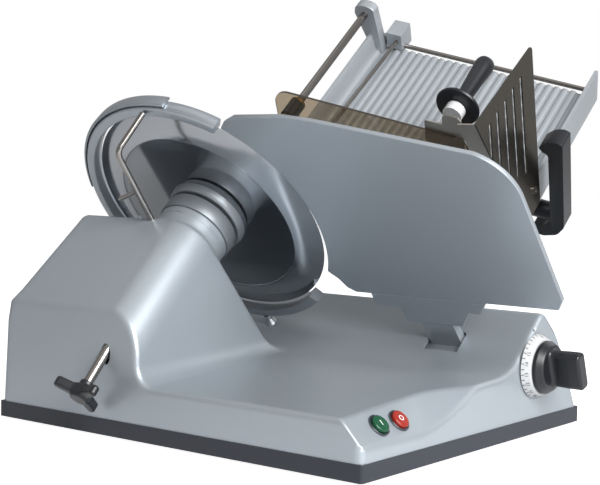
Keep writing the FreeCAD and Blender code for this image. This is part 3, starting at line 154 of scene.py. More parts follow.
@dataclass(frozen=True)
class Finish:
    """One real material with its surface."""

    name: str
    colour: str
    metallic: float
    roughness: float
    grain: Grain
    grain_mm: float = 1.0
    tone: float = 0.06
    relief_mm: float = 0.01
    coat: float = 0.0
    transmission: float = 0.0
    ior: float = 1.5
    along: Vector = field(default_factory=lambda: Vector((1, 0, 0)))
    about: Optional[Matrix] = None

    def build(self) -> Material:
        """Makes the material, or returns the one made before.

        Returns:
            The material.
        """
        found = bpy.data.materials.get(self.name)
        if found:
            return found
        material = bpy.data.materials.new(self.name)
        material.use_nodes = True
        tree = material.node_tree
        tree.nodes.clear()
        shader = add_node(tree, "ShaderNodeBsdfPrincipled", {
            "Metallic": self.metallic, "Roughness": self.roughness, "Coat Weight": self.coat,
            "Transmission Weight": self.transmission})
        if self.metallic < 1.0:
            shader.inputs["IOR"].default_value = self.ior
        add_node(tree, "ShaderNodeOutputMaterial", {}, {"Surface": shader.outputs["BSDF"]})
        grain = self._pattern(tree)
        halves = [add_node(tree, "ShaderNodeMath", {"operation": "MULTIPLY", 1: 0.5}, {0: source}).outputs[0]
                  for source in (grain, self._clouds(tree))]
        mixed = add_node(tree, "ShaderNodeMath", {"operation": "ADD", "use_clamp": True},
                         dict(enumerate(halves))).outputs[0]
        low, high = ([min(c * share, 1.0) for c in linear(self.colour)[:3]] + [1.0]
                     for share in (1.0 - self.tone, 1.0 + self.tone))
        colour = add_node(tree, "ShaderNodeMix", {"data_type": "RGBA", 6: low, 7: high}, {0: mixed})
        spread = ROUGH_SHARE * self.roughness + ROUGH_LEAST
        rough = add_node(tree, "ShaderNodeMapRange", {
            "To Min": max(self.roughness - spread, 0.0), "To Max": self.roughness + spread}, {"Value": mixed})
        bump = add_node(tree, "ShaderNodeBump", {"Strength": 1.0, "Distance": self.relief_mm * UNIT},
                        {"Height": grain})
        for key, source in (("Base Color", colour.outputs[2]), ("Roughness", rough.outputs[0]),
                            ("Normal", bump.outputs[0])):
            tree.links.new(source, shader.inputs[key])
        return material

    def _clouds(self, tree: NodeTree) -> NodeSocket:
        """Returns slow changes of tone, as large plain faces have.

        Args:
            tree: the material's tree.

        Returns:
            The socket of a share from 0 to 1.
        """
        place = add_node(tree, "ShaderNodeTexCoord", {})
        return add_node(tree, "ShaderNodeTexNoise", {"Scale": 1.0 / (CLOUD_MM * UNIT), "Detail": 2.0},
                        {"Vector": place.outputs["Object"]}).outputs["Fac"]

    def _pattern(self, tree: NodeTree) -> NodeSocket:
        """Returns the fine pattern that the making of the surface left.

        Args:
            tree: the material's tree.

        Returns:
            The socket of a share from 0 to 1.
        """
        place = add_node(tree, "ShaderNodeTexCoord", {}).outputs["Object"]
        fine = 1.0 / (self.grain_mm * UNIT)
        if self.grain is Grain.TURNED and self.about is not None:
            shift, turn, scale = self.about.inverted().decompose()
            centred = add_node(tree, "ShaderNodeMapping", {
                "Location": shift, "Rotation": turn.to_euler(), "Scale": scale}, {"Vector": place})
            flat = add_node(tree, "ShaderNodeVectorMath", {"operation": "MULTIPLY", 1: (1, 1, 0)},
                            {0: centred.outputs[0]})
            radius = add_node(tree, "ShaderNodeVectorMath", {"operation": "LENGTH"}, {0: flat.outputs[0]})
            return add_node(tree, "ShaderNodeTexNoise", {
                "noise_dimensions": "1D", "Scale": 1.0 / self.grain_mm, "Detail": 3.0},
                {"W": radius.outputs["Value"]}).outputs["Fac"]
        if self.grain is Grain.BRUSHED:
            turn = self.along.to_track_quat("X", "Z").to_matrix().inverted().to_euler()
            turned = add_node(tree, "ShaderNodeMapping", {"Rotation": turn}, {"Vector": place})
            drawn = add_node(tree, "ShaderNodeVectorMath", {"operation": "MULTIPLY", 1: DRAWN_OUT},
                             {0: turned.outputs[0]})
            return add_node(tree, "ShaderNodeTexNoise", {"Scale": fine, "Detail": 3.0},
                            {"Vector": drawn.outputs[0]}).outputs["Fac"]
        return add_node(tree, "ShaderNodeTexNoise", {"Scale": fine, "Detail": 2.0},
                        {"Vector": place}).outputs["Fac"]


# Cast aluminium, bead blasted and clear anodised: a soft, slightly cool silver with no sharp reflection.
CAST_SILVER = Finish("blasted_anodised_casting", "#a3aab0", 0.55, 0.42, Grain.BLASTED, 0.9, 0.05, 0.012)
# The same metal rolled and anodised: flatter, darker, a little more gloss.
PLATE_SILVER = Finish("anodised_plate", "#9da3a9", 0.6, 0.40, Grain.BLASTED, 0.8, 0.04, 0.008)
# Extruded table profile: brushed along its ribs before anodising.
TABLE_SILVER = Finish("brushed_anodised_profile", "#a6abb0", 0.55, 0.38, Grain.BRUSHED, 0.7, 0.05, 0.008,
                      along=UP_SLOPE)
# Ground and mirror polished knife steel: nearly black where it faces dark, white where it faces light.
KNIFE_STEEL = Finish("polished_knife_steel", "#9b9ea2", 1.0, 0.07, Grain.TURNED, 0.9, 0.03, 0.0006,
                     about=BLADE)
# Ground cutting band: the same steel with grinding rings that spread its reflections.
GROUND_STEEL = Finish("ground_knife_band", "#a4a7ab", 1.0, 0.15, Grain.TURNED, 0.6, 0.06, 0.002, about=BLADE)
# Turned aluminium plate: pale, with faint rings about the blade's axis.
TURNED_SILVER = Finish("turned_aluminium", "#b2b7bb", 0.8, 0.36, Grain.TURNED, 0.5, 0.06, 0.003, about=BLADE)
# Turned, then dull anodised caps: an even mid grey that shows its rings only in the highlight.
SATIN_SILVER = Finish("satin_turned_aluminium", "#82878c", 0.55, 0.44, Grain.TURNED, 0.5, 0.05, 0.002,
                      about=BLADE)
# Cast ring, buffed round its length: soft bright bands that follow the curve.
RING_SILVER = Finish("polished_ring_casting", "#a3a9af", 0.75, 0.34, Grain.TURNED, 0.7, 0.03, 0.0008,
                     about=BLADE)
# Cold drawn stainless rod: clear dark and light bands, with a soft streak along its length.
BRIGHT_ROD = Finish("drawn_stainless_rod", "#8f8b87", 1.0, 0.22, Grain.BRUSHED, 0.4, 0.05, 0.001,
                    along=UP_SLOPE)
# Rolled stainless sheet, buffed: it mirrors its surroundings softly and takes their tone.
STAINLESS_SHEET = Finish("polished_stainless_sheet", "#6e6a63", 1.0, 0.28, Grain.BRUSHED, 0.4, 0.05, 0.001,
                         along=UP_BLADE)
# Stainless sheet brushed before it was bent: pale and even, with fine lines.
BRUSHED_STEEL = Finish("brushed_steel_bracket", "#c4beb5", 1.0, 0.42, Grain.BRUSHED, 0.5, 0.08, 0.002,
                       along=ALONG_TABLE)
# Milled and turned steel inside the machine: grey, with tool lines.
MACHINED_STEEL = Finish("machined_steel", "#8d9094", 1.0, 0.35, Grain.BRUSHED, 0.5, 0.08, 0.003)
# Dark enamel sprayed on the motor: dull and slightly pebbled.
MOTOR_PAINT = Finish("motor_paint", "#2b2d30", 0.0, 0.55, Grain.MOULDED, 0.9, 0.10, 0.03)
# Sintered bronze bushes: brown gold, speckled by their pores.
BRONZE = Finish("sintered_bronze", "#9c7b45", 1.0, 0.42, Grain.BLASTED, 0.4, 0.10, 0.004)
# Slate grey powder coat: slight orange peel, dull sheen.
SLATE_COAT = Finish("slate_powder_coat", "#20242d", 0.0, 0.48, Grain.MOULDED, 1.4, 0.08, 0.02)
# Moulded rubber: nearly black, with hardly any sheen.
RUBBER = Finish("moulded_rubber", "#17181a", 0.0, 0.70, Grain.MOULDED, 0.8, 0.12, 0.02)
# Glass filled nylon from a sparked tool: black with a fine grain that greys its highlights.
BLACK_NYLON = Finish("black_grained_nylon", "#17191d", 0.0, 0.36, Grain.MOULDED, 0.7, 0.15, 0.012)
# White ABS: even, off white, with a mild gloss.
WHITE_ABS = Finish("white_abs", "#bcbdbe", 0.0, 0.35, Grain.MOULDED, 0.8, 0.02, 0.004)
# Pad printing inks: flat and even, with a dull gloss.
GREY_INK = Finish("grey_print", "#2e3035", 0.0, 0.50, Grain.MOULDED, 0.5, 0.05, 0.001)
WHITE_INK = Finish("white_print", "#eef0ee", 0.0, 0.45, Grain.MOULDED, 0.5, 0.02, 0.001)
# Coloured polycarbonate caps: deep colour under a light gloss.
GREEN_CAP = Finish("green_polycarbonate", "#064428", 0.0, 0.24, Grain.SMOOTH, 2.0, 0.06, 0.001, coat=0.15)
RED_CAP = Finish("red_polycarbonate", "#8c1d0b", 0.0, 0.24, Grain.SMOOTH, 2.0, 0.05, 0.001, coat=0.15)
# Satin chrome plate: a dark grey mirror with soft edges to its reflections.
BEZEL_CHROME = Finish("satin_chromed_bezel", "#6b6e72", 1.0, 0.28, Grain.SMOOTH, 2.0, 0.03, 0.0005)
# Bronze tinted acrylic: clear and warm brown.
TINTED_ACRYLIC = Finish("bronze_tinted_acrylic", "#ab9c86", 0.0, 0.03, Grain.SMOOTH, 3.0, 0.02, 0.0002,
                        transmission=0.92, ior=1.49)
# The same sheet's cut edge, where its whole width of tint reads nearly black.
TINTED_EDGE = Finish("tinted_acrylic_cut_edge", "#2b241c", 0.0, 0.25, Grain.SMOOTH, 3.0, 0.05, 0.0005)
# Black oxide on screw heads: dark grey with a metal's highlight.
DARK_STEEL = Finish("black_oxide_screw", "#55585c", 1.0, 0.30, Grain.TURNED, 0.5, 0.06, 0.002)


# ---------------------------------------------------------------- meshes
# Edges that turn by more than this stay sharp: on meshes, on turned pieces and on print.
SHARP_DEG, TURNED_SHARP_DEG, PRINT_SHARP_DEG = 32.0, 28.0, 30.0
# Edges that turn by more than this are rounded.
ROUNDED_DEG = 34.0
# Triangles of a CAD mesh that turn by less than this become one face.
FLAT_DEG = 0.4
# Points closer than this merge: metres in a CAD mesh, millimetres on a turned piece, metres in print.
MERGE_CAD, MERGE_TURNED, MERGE_PRINT = 2e-6, 1e-4, 1e-6


def new_piece(name: str, vertices: Iterable, faces: Iterable, finish: Finish, place: Matrix,
              sharp_deg: float = SHARP_DEG) -> Object:
    """Makes a smooth shaded mesh object whose place is in its mesh.

    Args:
        name: the piece's name.
        vertices: points in the local frame, in millimetres.
        faces: corner numbers of each face.
        finish: the finish that covers it.
        place: the matrix from the local frame to the scene.
        sharp_deg: edges that turn by more than this stay sharp.

    Returns:
        The object.
    """
    mesh = bpy.data.meshes.new(name)
    mesh.from_pydata([tuple(v) for v in vertices], [], [tuple(f) for f in faces])
    mesh.transform(place)
    mesh.validate()
    return show(name, mesh, finish, sharp_deg)


def show(name: str, mesh: Mesh, finish: Finish, sharp_deg: float = SHARP_DEG) -> Object:
    """Shades a mesh smooth, gives it its finish and puts it in the scene.

    Args:
        name: the piece's name.
        mesh: its mesh, with its place in it.
        finish: the finish that covers it.
        sharp_deg: edges that turn by more than this stay sharp.

    Returns:
        The object.
    """
    mesh.polygons.foreach_set("use_smooth", [True] * len(mesh.polygons))
    mesh.set_sharp_from_angle(angle=math.radians(sharp_deg))
    mesh.materials.clear()
    mesh.materials.append(finish.build())
    piece = bpy.data.objects.new(name, mesh)
    bpy.context.scene.collection.objects.link(piece)
    return piece


def keep(piece: Object, body: str, slot: str, *nodes: str) -> Object:
    """Makes a piece ride on its body and hides the nodes that it stands for.

    Args:
        piece: the piece.
        body: the body that it rides on.
        slot: the record's material slot, which is not used.
        nodes: the CAD nodes that it stands for.

    Returns:
        The same piece.
    """
    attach(piece, body)
    if nodes:
        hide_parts(*nodes)
    LOG.info("%s: %d faces on %s", piece.name, len(piece.data.polygons), body)
    return piece


def as_mesh(made: bmesh.types.BMesh, name: str) -> Mesh:
    """Turns a bmesh into a mesh and frees it.

    Args:
        made: the bmesh.
        name: the mesh's name.

    Returns:
        The mesh.
    """
    mesh = bpy.data.meshes.new(name)
    made.to_mesh(mesh)
    made.free()
    return mesh


def plain_mesh(carrier: Object) -> Mesh:
    """Turns a helper object, as evaluated, into a plain mesh and removes the helper.

    Args:
        carrier: the helper, a text or an object with live modifiers.

    Returns:
        The mesh.
    """
    view = bpy.context.evaluated_depsgraph_get()
    mesh = bpy.data.meshes.new_from_object(carrier.evaluated_get(view))
    carrier.modifiers.clear()
    bpy.data.objects.remove(carrier)
    return mesh


def lathe(name: str, profile: Sequence[Pair], finish: Finish, place: Matrix, segments: int = 160,
          start_deg: float = 0.0, sweep_deg: float = 360.0) -> Object:
    """Turns a closed (radius, height) profile about the local Z.

    Args:
        name: the piece's name.
        profile: the section's corners, in order.
        finish: the piece's finish.
        place: the matrix from the local frame to the scene.
        segments: steps round the sweep.
        start_deg: where the sweep starts.
        sweep_deg: how far it goes; below 360 the ends are closed.

    Returns:
        The object.
    """
    whole = sweep_deg >= 360.0
    rings = segments if whole else segments + 1
    count = len(profile)
    made = bmesh.new()
    points = []
    for i in range(rings):
        angle = math.radians(start_deg + sweep_deg * i / segments)
        points += [made.verts.new((r * math.cos(angle), r * math.sin(angle), z)) for r, z in profile]
    for i in range(segments):
        near, far = i * count, (i + 1) % rings * count
        for k in range(count):
            n = (k + 1) % count
            made.faces.new([points[corner] for corner in (near + k, far + k, far + n, near + n)])
    if not whole:
        made.faces.new(points[:count])
        made.faces.new(points[:-count - 1:-1])
    bmesh.ops.remove_doubles(made, verts=made.verts, dist=MERGE_TURNED)
    bmesh.ops.recalc_face_normals(made, faces=made.faces)
    mesh = as_mesh(made, name)
    mesh.transform(place)
    return show(name, mesh, finish, TURNED_SHARP_DEG)


def soften(piece: Object, width_mm: float) -> Object:
    """Rounds a piece's sharp edges, so that they catch light as real ones do.

    Args:
        piece: the piece.
        width_mm: the rounding's width.

    Returns:
        The same piece.
    """
    bevel = piece.modifiers.new("edge_radius", "BEVEL")
    bevel.width = width_mm * UNIT
    bevel.segments = 2
    bevel.limit_method = "ANGLE"
    bevel.angle_limit = math.radians(ROUNDED_DEG)
    bevel.harden_normals = True
    return piece


def copied(node: str, name: str, finish: Finish, edge_mm: float) -> Object:
    """Copies a CAD node's mesh, merges its loose triangles into clean faces and rounds its edges.

    Args:
        node: the CAD node.
        name: the new piece's name.
        finish: its finish.
        edge_mm: the width of its edges' rounding.

    Returns:
        The object.
    """
    made = bmesh.new()
    made.from_mesh(frame["nodes"][node].data)
    bmesh.ops.remove_doubles(made, verts=made.verts, dist=MERGE_CAD)
    bmesh.ops.dissolve_limit(made, angle_limit=math.radians(FLAT_DEG), verts=made.verts, edges=made.edges)
    return soften(show(name, as_mesh(made, name), finish), edge_mm)


def keep_shapes(body: str, *rows: tuple[str, str, Finish, float, str]) -> None:
    """Keeps the CAD's own shapes as pieces with rounded edges.

    Args:
        body: the body that they ride on.
        rows: for each its node, piece name, finish, edge radius and slot.
    """
    for node, name, finish, edge_mm, slot in rows:
        keep(copied(node, name, finish, edge_mm), body, slot, node)


def prism(name: str, outline: Sequence[Pair], low: float, high: float, finish: Finish,
          place: Matrix) -> Object:
    """Extrudes an outline in the local XY from low to high along local Z.

    Args:
        name: the piece's name.
        outline: its corners, in order.
        low, high: where the extrusion starts and ends.
        finish: the piece's finish.
        place: the matrix from the local frame to the scene.

    Returns:
        The object.
    """
    count = len(outline)
    vertices = [(x, y, z) for z in (low, high) for x, y in outline]
    faces = [tuple(reversed(range(count))), tuple(range(count, 2 * count))]
    faces += [(i, (i + 1) % count, count + (i + 1) % count, count + i) for i in range(count)]
    piece = new_piece(name, vertices, faces, finish, place)
    made = bmesh.new()
    made.from_mesh(piece.data)
    bmesh.ops.recalc_face_normals(made, faces=made.faces)
    made.to_mesh(piece.data)
    made.free()
    return piece


# ---------------------------------------------------------------- distance fields
# How far the two probes of a slope stand from their point.
PROBE_MM = 0.02
# Times that a cut edge is halved, and times that a vertex is drawn onto the surface.
HALVINGS, DRAWS = 12, 4
# Pull of a vertex towards the mean of its crossings, which settles it where its planes are parallel.
MEAN_PULL = 0.1
# Least squared slope that a draw onto the surface reckons with.
LEAST_SLOPE = 0.05
# A corner is shaded with the slope this far in towards its face's middle, where the cosine between
# that slope and its own is below the second number, so that sharp edges stay sharp.
SHADE_INSET, SHADE_CREASE = 0.7, 0.6


def round_join(a: np.ndarray, b: np.ndarray, radius: float) -> np.ndarray:
    """Joins two distance fields with a fillet of that radius."""
    u, v = np.maximum(radius - a, 0.0), np.maximum(radius - b, 0.0)
    return np.maximum(radius, np.minimum(a, b)) - np.hypot(u, v)


def round_meet(a: np.ndarray, b: np.ndarray, radius: float) -> np.ndarray:
    """Keeps what is in both fields, with an edge of that radius."""
    return -round_join(-a, -b, radius)


def plane(points: Points, place: Sequence[float], normal: Sequence[float]) -> np.ndarray:
    """Distance above a plane.

    Args:
        points: places in millimetres.
        place: a point on the plane.
        normal: the direction that it faces, of any length.

    Returns:
        The signed distance of each place.
    """
    upright = np.array(normal, float)
    upright /= np.linalg.norm(upright)
    return (points - np.array(place, float)) @ upright


def outside(value: np.ndarray, span: Pair) -> np.ndarray:
    """Distance outside a span of one coordinate."""
    return np.maximum(span[0] - value, value - span[1])


def ramp(value: np.ndarray, start: float, run: float) -> np.ndarray:
    """Rises from 0 at the start to 1 after the run."""
    return np.clip((value - start) / run, 0.0, 1.0)


def turned_by(x: np.ndarray, y: np.ndarray, angle_deg: float) -> tuple[np.ndarray, np.ndarray]:
    """Returns the coordinates along and across a direction in the XY plane."""
    turn = math.radians(angle_deg)
    return x * math.cos(turn) + y * math.sin(turn), -x * math.sin(turn) + y * math.cos(turn)


def split(points: Points) -> tuple[np.ndarray, np.ndarray, np.ndarray]:
    """Splits points into their three coordinates."""
    return points[..., 0], points[..., 1], points[..., 2]


def local(points: Points, place: Matrix) -> Points:
    """Turns world millimetres into a local frame's millimetres."""
    inverse = np.array(place.inverted(), float)
    return (points * UNIT) @ inverse[:3, :3].T + inverse[:3, 3]


def unit(vectors: Points) -> Points:
    """Scales each vector to length 1."""
    return vectors / np.maximum(np.linalg.norm(vectors, axis=-1, keepdims=True), 1e-9)


def gradient(points: Points, surface: Field) -> Points:
    """Slope of the field at each point.

    Args:
        points: places in millimetres.
        surface: the field.

    Returns:
        The field's change for each millimetre along each axis.
    """
    step = PROBE_MM * np.eye(3)
    rises = [surface(points + step[i]) - surface(points - step[i]) for i in range(3)]
    return np.stack(rises, -1) / (2.0 * PROBE_MM)


def edge_number(one: int, other: int) -> int:
    """Numbers the cell edge between two corners, as sheet_table has it.

    Args:
        one, other: the corners, whose bits are their sides along each axis.

    Returns:
        The edge's number.
    """
    axis = (one ^ other).bit_length() - 1
    u, v = (axis + 1) % 3, (axis + 2) % 3
    return 4 * axis + 2 * (one >> v & 1) + (one >> u & 1)


def sheet_pairs(ring: Sequence[int], inner: int) -> list[Sequence[int]]:
    """Pairs the cut edges of one cell face that lie on one sheet.

    Args:
        ring: the face's corners, in order.
        inner: the set of inner corners.

    Returns:
        Pairs of edge numbers. Where all four edges are cut, each outer corner has its own sheet.
    """
    held = [inner >> corner & 1 for corner in ring]
    edges = [edge_number(ring[i], ring[(i + 1) % 4]) for i in range(4)]
    cut = [edges[i] for i in range(4) if held[i] != held[(i + 1) % 4]]
    if len(cut) == 4:
        return [(edges[i - 1], edges[i]) for i in range(4) if not held[i]]
    return [cut] if cut else []


def sheet_table() -> np.ndarray:
    """Numbers the separate surface sheets that can pass one grid cell.

    Returns:
        For each of the 256 sets of inner corners, the sheet that each of the 12 cell edges belongs to.
        Edge 4a + 2d + c runs along axis a, at side c of the next axis and side d of the one after.
    """
    table = np.zeros((256, 12), int)
    for inner in range(256):
        sheet = list(range(12))
        for axis in range(3):
            u, v = 1 << (axis + 1) % 3, 1 << (axis + 2) % 3
            for side in (0, 1 << axis):
                for one, other in sheet_pairs([side, side + u, side + u + v, side + v], inner):
                    kept, lost = sorted((sheet[one], sheet[other]))
                    sheet = [kept if number == lost else number for number in sheet]
        table[inner] = sheet
    return table


def corner_sets(held: np.ndarray) -> np.ndarray:
    """Returns each grid cell's set of inner corners, as a number below 256.

    Args:
        held: which grid points are inside.

    Returns:
        One number for each cell, at its lowest corner.
    """
    inner = np.zeros(held.shape, int)
    for corner in range(8):
        spans = [slice(side, count - 1 + side)
                 for side, count in zip((corner & 1, corner >> 1 & 1, corner >> 2), held.shape)]
        inner[:-1, :-1, :-1] += held[tuple(spans)] << corner
    return inner


def cut_edges(held: np.ndarray, axis: int) -> tuple[np.ndarray, np.ndarray]:
    """Finds the grid edges along one axis that the surface cuts.

    Args:
        held: which grid points are inside.
        axis: the edges' axis.

    Returns:
        The lower end of each such edge, as grid numbers, and whether that end is inside.
    """
    first, second = [slice(None)] * 3, [slice(None)] * 3
    first[axis], second[axis] = slice(0, -1), slice(1, None)
    spots = np.argwhere(held[tuple(first)] != held[tuple(second)])
    for side in ((axis + 1) % 3, (axis + 2) % 3):
        spots = spots[(spots[:, side] > 0) & (spots[:, side] < held.shape[side] - 1)]
    return spots, held[tuple(spots.T)]


def crossings(surface: Field, near: Points, far: Points, rising: np.ndarray) -> Points:
    """Halves each cut edge until the surface's crossing is found.

    Args:
        surface: the field.
        near, far: the ends of each edge, which this moves.
        rising: whether the near end is inside.

    Returns:
        The crossing on each edge.
    """
    for _ in range(HALVINGS):
        middle = 0.5 * (near + far)
        same = (surface(middle) < 0) == rising
        near[same], far[~same] = middle[same], middle[~same]
    return 0.5 * (near + far)


def meeting_points(number: np.ndarray, spots: Points, normal: Points) -> Points:
    """Finds where the planes of each vertex best meet.

    Args:
        number: the vertex that each plane belongs to.
        spots, normal: a point on each plane and its unit normal.

    Returns:
        One point for each vertex, drawn a little towards the mean of its spots.
    """
    count = np.bincount(number)
    mean = np.stack([np.bincount(number, spots[:, i]) / count for i in range(3)], -1)
    offset = ((spots - mean[number]) * normal).sum(-1)
    right = np.stack([np.bincount(number, normal[:, i] * offset) for i in range(3)], -1)
    matrix = np.stack([np.stack([np.bincount(number, normal[:, i] * normal[:, j]) for j in range(3)], -1)
                       for i in range(3)], -2) + MEAN_PULL * np.eye(3)
    return mean + np.linalg.solve(matrix, right[..., None])[..., 0]


def surface_mesh(surface: Field, low: Sequence[float], high: Sequence[float],
                 cell: float) -> tuple[Points, np.ndarray]:
    """Finds the zero surface of a distance field, with its sharp edges kept.

    Each sheet of the surface in a grid cell gets one vertex, at the best meeting point of the planes
    through its edge crossings, so both faces of a thin wall stay apart.

    Args:
        surface: the field, negative inside.
        low, high: the corners of the searched box.
        cell: the grid's spacing.

    Returns:
        Vertices and four-cornered faces, which point outwards.
    """
    start = np.array(low, float)
    counts = tuple(np.ceil((np.array(high, float) - start) / cell).astype(int) + 1)
    axes = [start[i] + cell * np.arange(counts[i]) for i in range(3)]
    held = surface(np.stack(np.meshgrid(*axes, indexing="ij"), -1)) < 0
    inner, table = corner_sets(held), sheet_table()
    owners, places = [], []
    for axis in range(3):
        spots, rising = cut_edges(held, axis)
        near, far = start + cell * spots, start + cell * spots
        far[:, axis] += cell
        places.append(crossings(surface, near, far, rising))
        ring = []
        for du, dv in ((1, 1), (0, 1), (0, 0), (1, 0)):
            home = spots.copy()
            home[:, (axis + 1) % 3] -= du
            home[:, (axis + 2) % 3] -= dv
            sheet = table[inner[tuple(home.T)], 4 * axis + 2 * dv + du]
            ring.append(np.ravel_multi_index(home.T, counts) * 12 + sheet)
        quads = np.stack(ring, -1)
        quads[~rising] = quads[~rising][:, ::-1]
        owners.append(quads)
    used, number = np.unique(np.concatenate(owners), return_inverse=True)
    number = number.reshape(-1)
    spots = np.concatenate(places)
    normal = unit(gradient(spots, surface))
    vertices = meeting_points(number, np.repeat(spots, 4, axis=0), np.repeat(normal, 4, axis=0))
    corner = start + cell * np.stack(np.unravel_index(used // 12, counts), -1)
    for _ in range(DRAWS):
        vertices = np.clip(vertices, corner, corner + cell)
        slope = gradient(vertices, surface)
        steep = np.maximum((slope ** 2).sum(-1, keepdims=True), LEAST_SLOPE)
        vertices = vertices - surface(vertices)[:, None] * slope / steep
    return vertices, number.reshape(-1, 4)


# ---------------------------------------------------------------- geometry nodes
class RepeatTree:
    """A geometry node tree that is built once and evaluated into plain meshes."""

    def __init__(self, name: str, **inputs: float) -> None:
        """Makes the tree with its named inputs.

        Args:
            name: the tree's name.
            inputs: each input's default; a whole number makes it a whole number's input.
        """
        self.tree = bpy.data.node_groups.new(name, "GeometryNodeTree")
        new_socket = self.tree.interface.new_socket
        for way in ("OUTPUT", "INPUT"):
            new_socket(name="Geometry", in_out=way, socket_type="NodeSocketGeometry")
        self.keys: dict[str, str] = {}
        for key, default in inputs.items():
            kind = "NodeSocketInt" if isinstance(default, int) else "NodeSocketFloat"
            socket = new_socket(name=key, in_out="INPUT", socket_type=kind)
            socket.default_value = default
            self.keys[key] = socket.identifier
        self.source = add_node(self.tree, "NodeGroupInput", {})

    def value(self, key: str) -> NodeSocket:
        """Returns the socket of a named input."""
        return self.source.outputs[key]

    def add(self, kind: str, settings: dict, links: Optional[dict] = None) -> NodeSocket:
        """Adds a node to the tree and returns its first output."""
        return add_node(self.tree, kind, settings, links).outputs[0]

    def finish(self, geometry: NodeSocket, finish: Finish) -> None:
        """Ends the tree with real geometry that carries its finish.

        Args:
            geometry: the socket of the geometry.
            finish: its finish.
        """
        real = self.add("GeometryNodeRealizeInstances", {}, {0: geometry})
        smooth = self.add("GeometryNodeSetShadeSmooth", {}, {0: real})
        dressed = self.add("GeometryNodeSetMaterial", {"Material": finish.build()}, {0: smooth})
        add_node(self.tree, "NodeGroupOutput", {}, {0: dressed})

    def grow(self, name: str, values: dict[str, float], place: Matrix, finish: Finish,
             points: Sequence[Sequence[float]] = ()) -> Object:
        """Evaluates the tree with its values and returns the result as a plain piece.

        Args:
            name: the piece's name.
            values: values of the named inputs.
            place: the matrix from the local frame to the scene.
            finish: the piece's finish.
            points: vertices of the mesh that the modifier starts from.

        Returns:
            The object.
        """
        seed = bpy.data.meshes.new(name + "_seed")
        seed.from_pydata([tuple(p) for p in points], [], [])
        carrier = bpy.data.objects.new(name + "_seed", seed)
        bpy.context.scene.collection.objects.link(carrier)
        modifier = carrier.modifiers.new("repeat", "NODES")
        modifier.node_group = self.tree
        for key, value in values.items():
            modifier[self.keys[key]] = value
        mesh = plain_mesh(carrier)
        mesh.transform(place)
        return show(name, mesh, finish)


def rib_tree() -> RepeatTree:
    """Builds the tree of the rounded ribs that run up the table.

    Returns:
        The tree.
    """
    tree = RepeatTree("table_ribs", Count=24, Pitch=10.0, Width=9.0, Height=3.0, Length=300.0)
    add, value = tree.add, tree.value
    half = add("ShaderNodeMath", {"operation": "MULTIPLY", 1: 0.5}, {0: value("Width")})
    middle = add("ShaderNodeMath", {"operation": "MULTIPLY", 1: 0.5}, {0: value("Length")})
    bar = add("GeometryNodeMeshCylinder", {"Vertices": 28, "Radius": 1.0}, {"Depth": value("Length")})
    size = add("ShaderNodeCombineXYZ", {"Z": 1.0}, {"X": half, "Y": value("Height")})
    place = add("ShaderNodeCombineXYZ", {}, {"Y": middle})
    rib = add("GeometryNodeTransform", {"Rotation": (math.pi / 2.0, 0.0, 0.0)},
              {"Geometry": bar, "Scale": size, "Translation": place})
    step = add("ShaderNodeCombineXYZ", {}, {"X": value("Pitch")})
    row = add("GeometryNodeMeshLine", {}, {"Count": value("Count"), "Offset": step})
    tree.finish(add("GeometryNodeInstanceOnPoints", {}, {"Points": row, "Instance": rib}), TABLE_SILVER)
    return tree


def tick_tree() -> RepeatTree:
    """Builds the tree of the tick marks round the dial's cone.

    Returns:
        The tree.
    """
    tree = RepeatTree("dial_ticks", Count=28, Radius=38.0, Length=4.0, Width=0.8, Lean=0.5)
    add, value = tree.add, tree.value
    circle = add("GeometryNodeMeshCircle", {}, {"Vertices": value("Count"), "Radius": value("Radius")})
    size = add("ShaderNodeCombineXYZ", {"Z": 0.3}, {"X": value("Width"), "Y": value("Length")})
    bar = add("GeometryNodeMeshCube", {}, {"Size": size})
    place = add("GeometryNodeInputPosition", {})
    turn = add("FunctionNodeAlignRotationToVector", {"axis": "Y", "pivot_axis": "Z"}, {"Vector": place})
    lean = add("ShaderNodeCombineXYZ", {}, {"X": value("Lean")})
    angle = add("FunctionNodeEulerToRotation", {}, {0: lean})
    tipped = add("FunctionNodeRotateRotation", {"rotation_space": "LOCAL"},
                 {"Rotation": turn, "Rotate By": angle})
    marks = add("GeometryNodeInstanceOnPoints", {}, {"Points": circle, "Instance": bar, "Rotation": tipped})
    tree.finish(marks, GREY_INK)
    return tree


# Width of a screw's hexagonal socket, and of its shank, against its head.
SOCKET_SHARE = 0.55


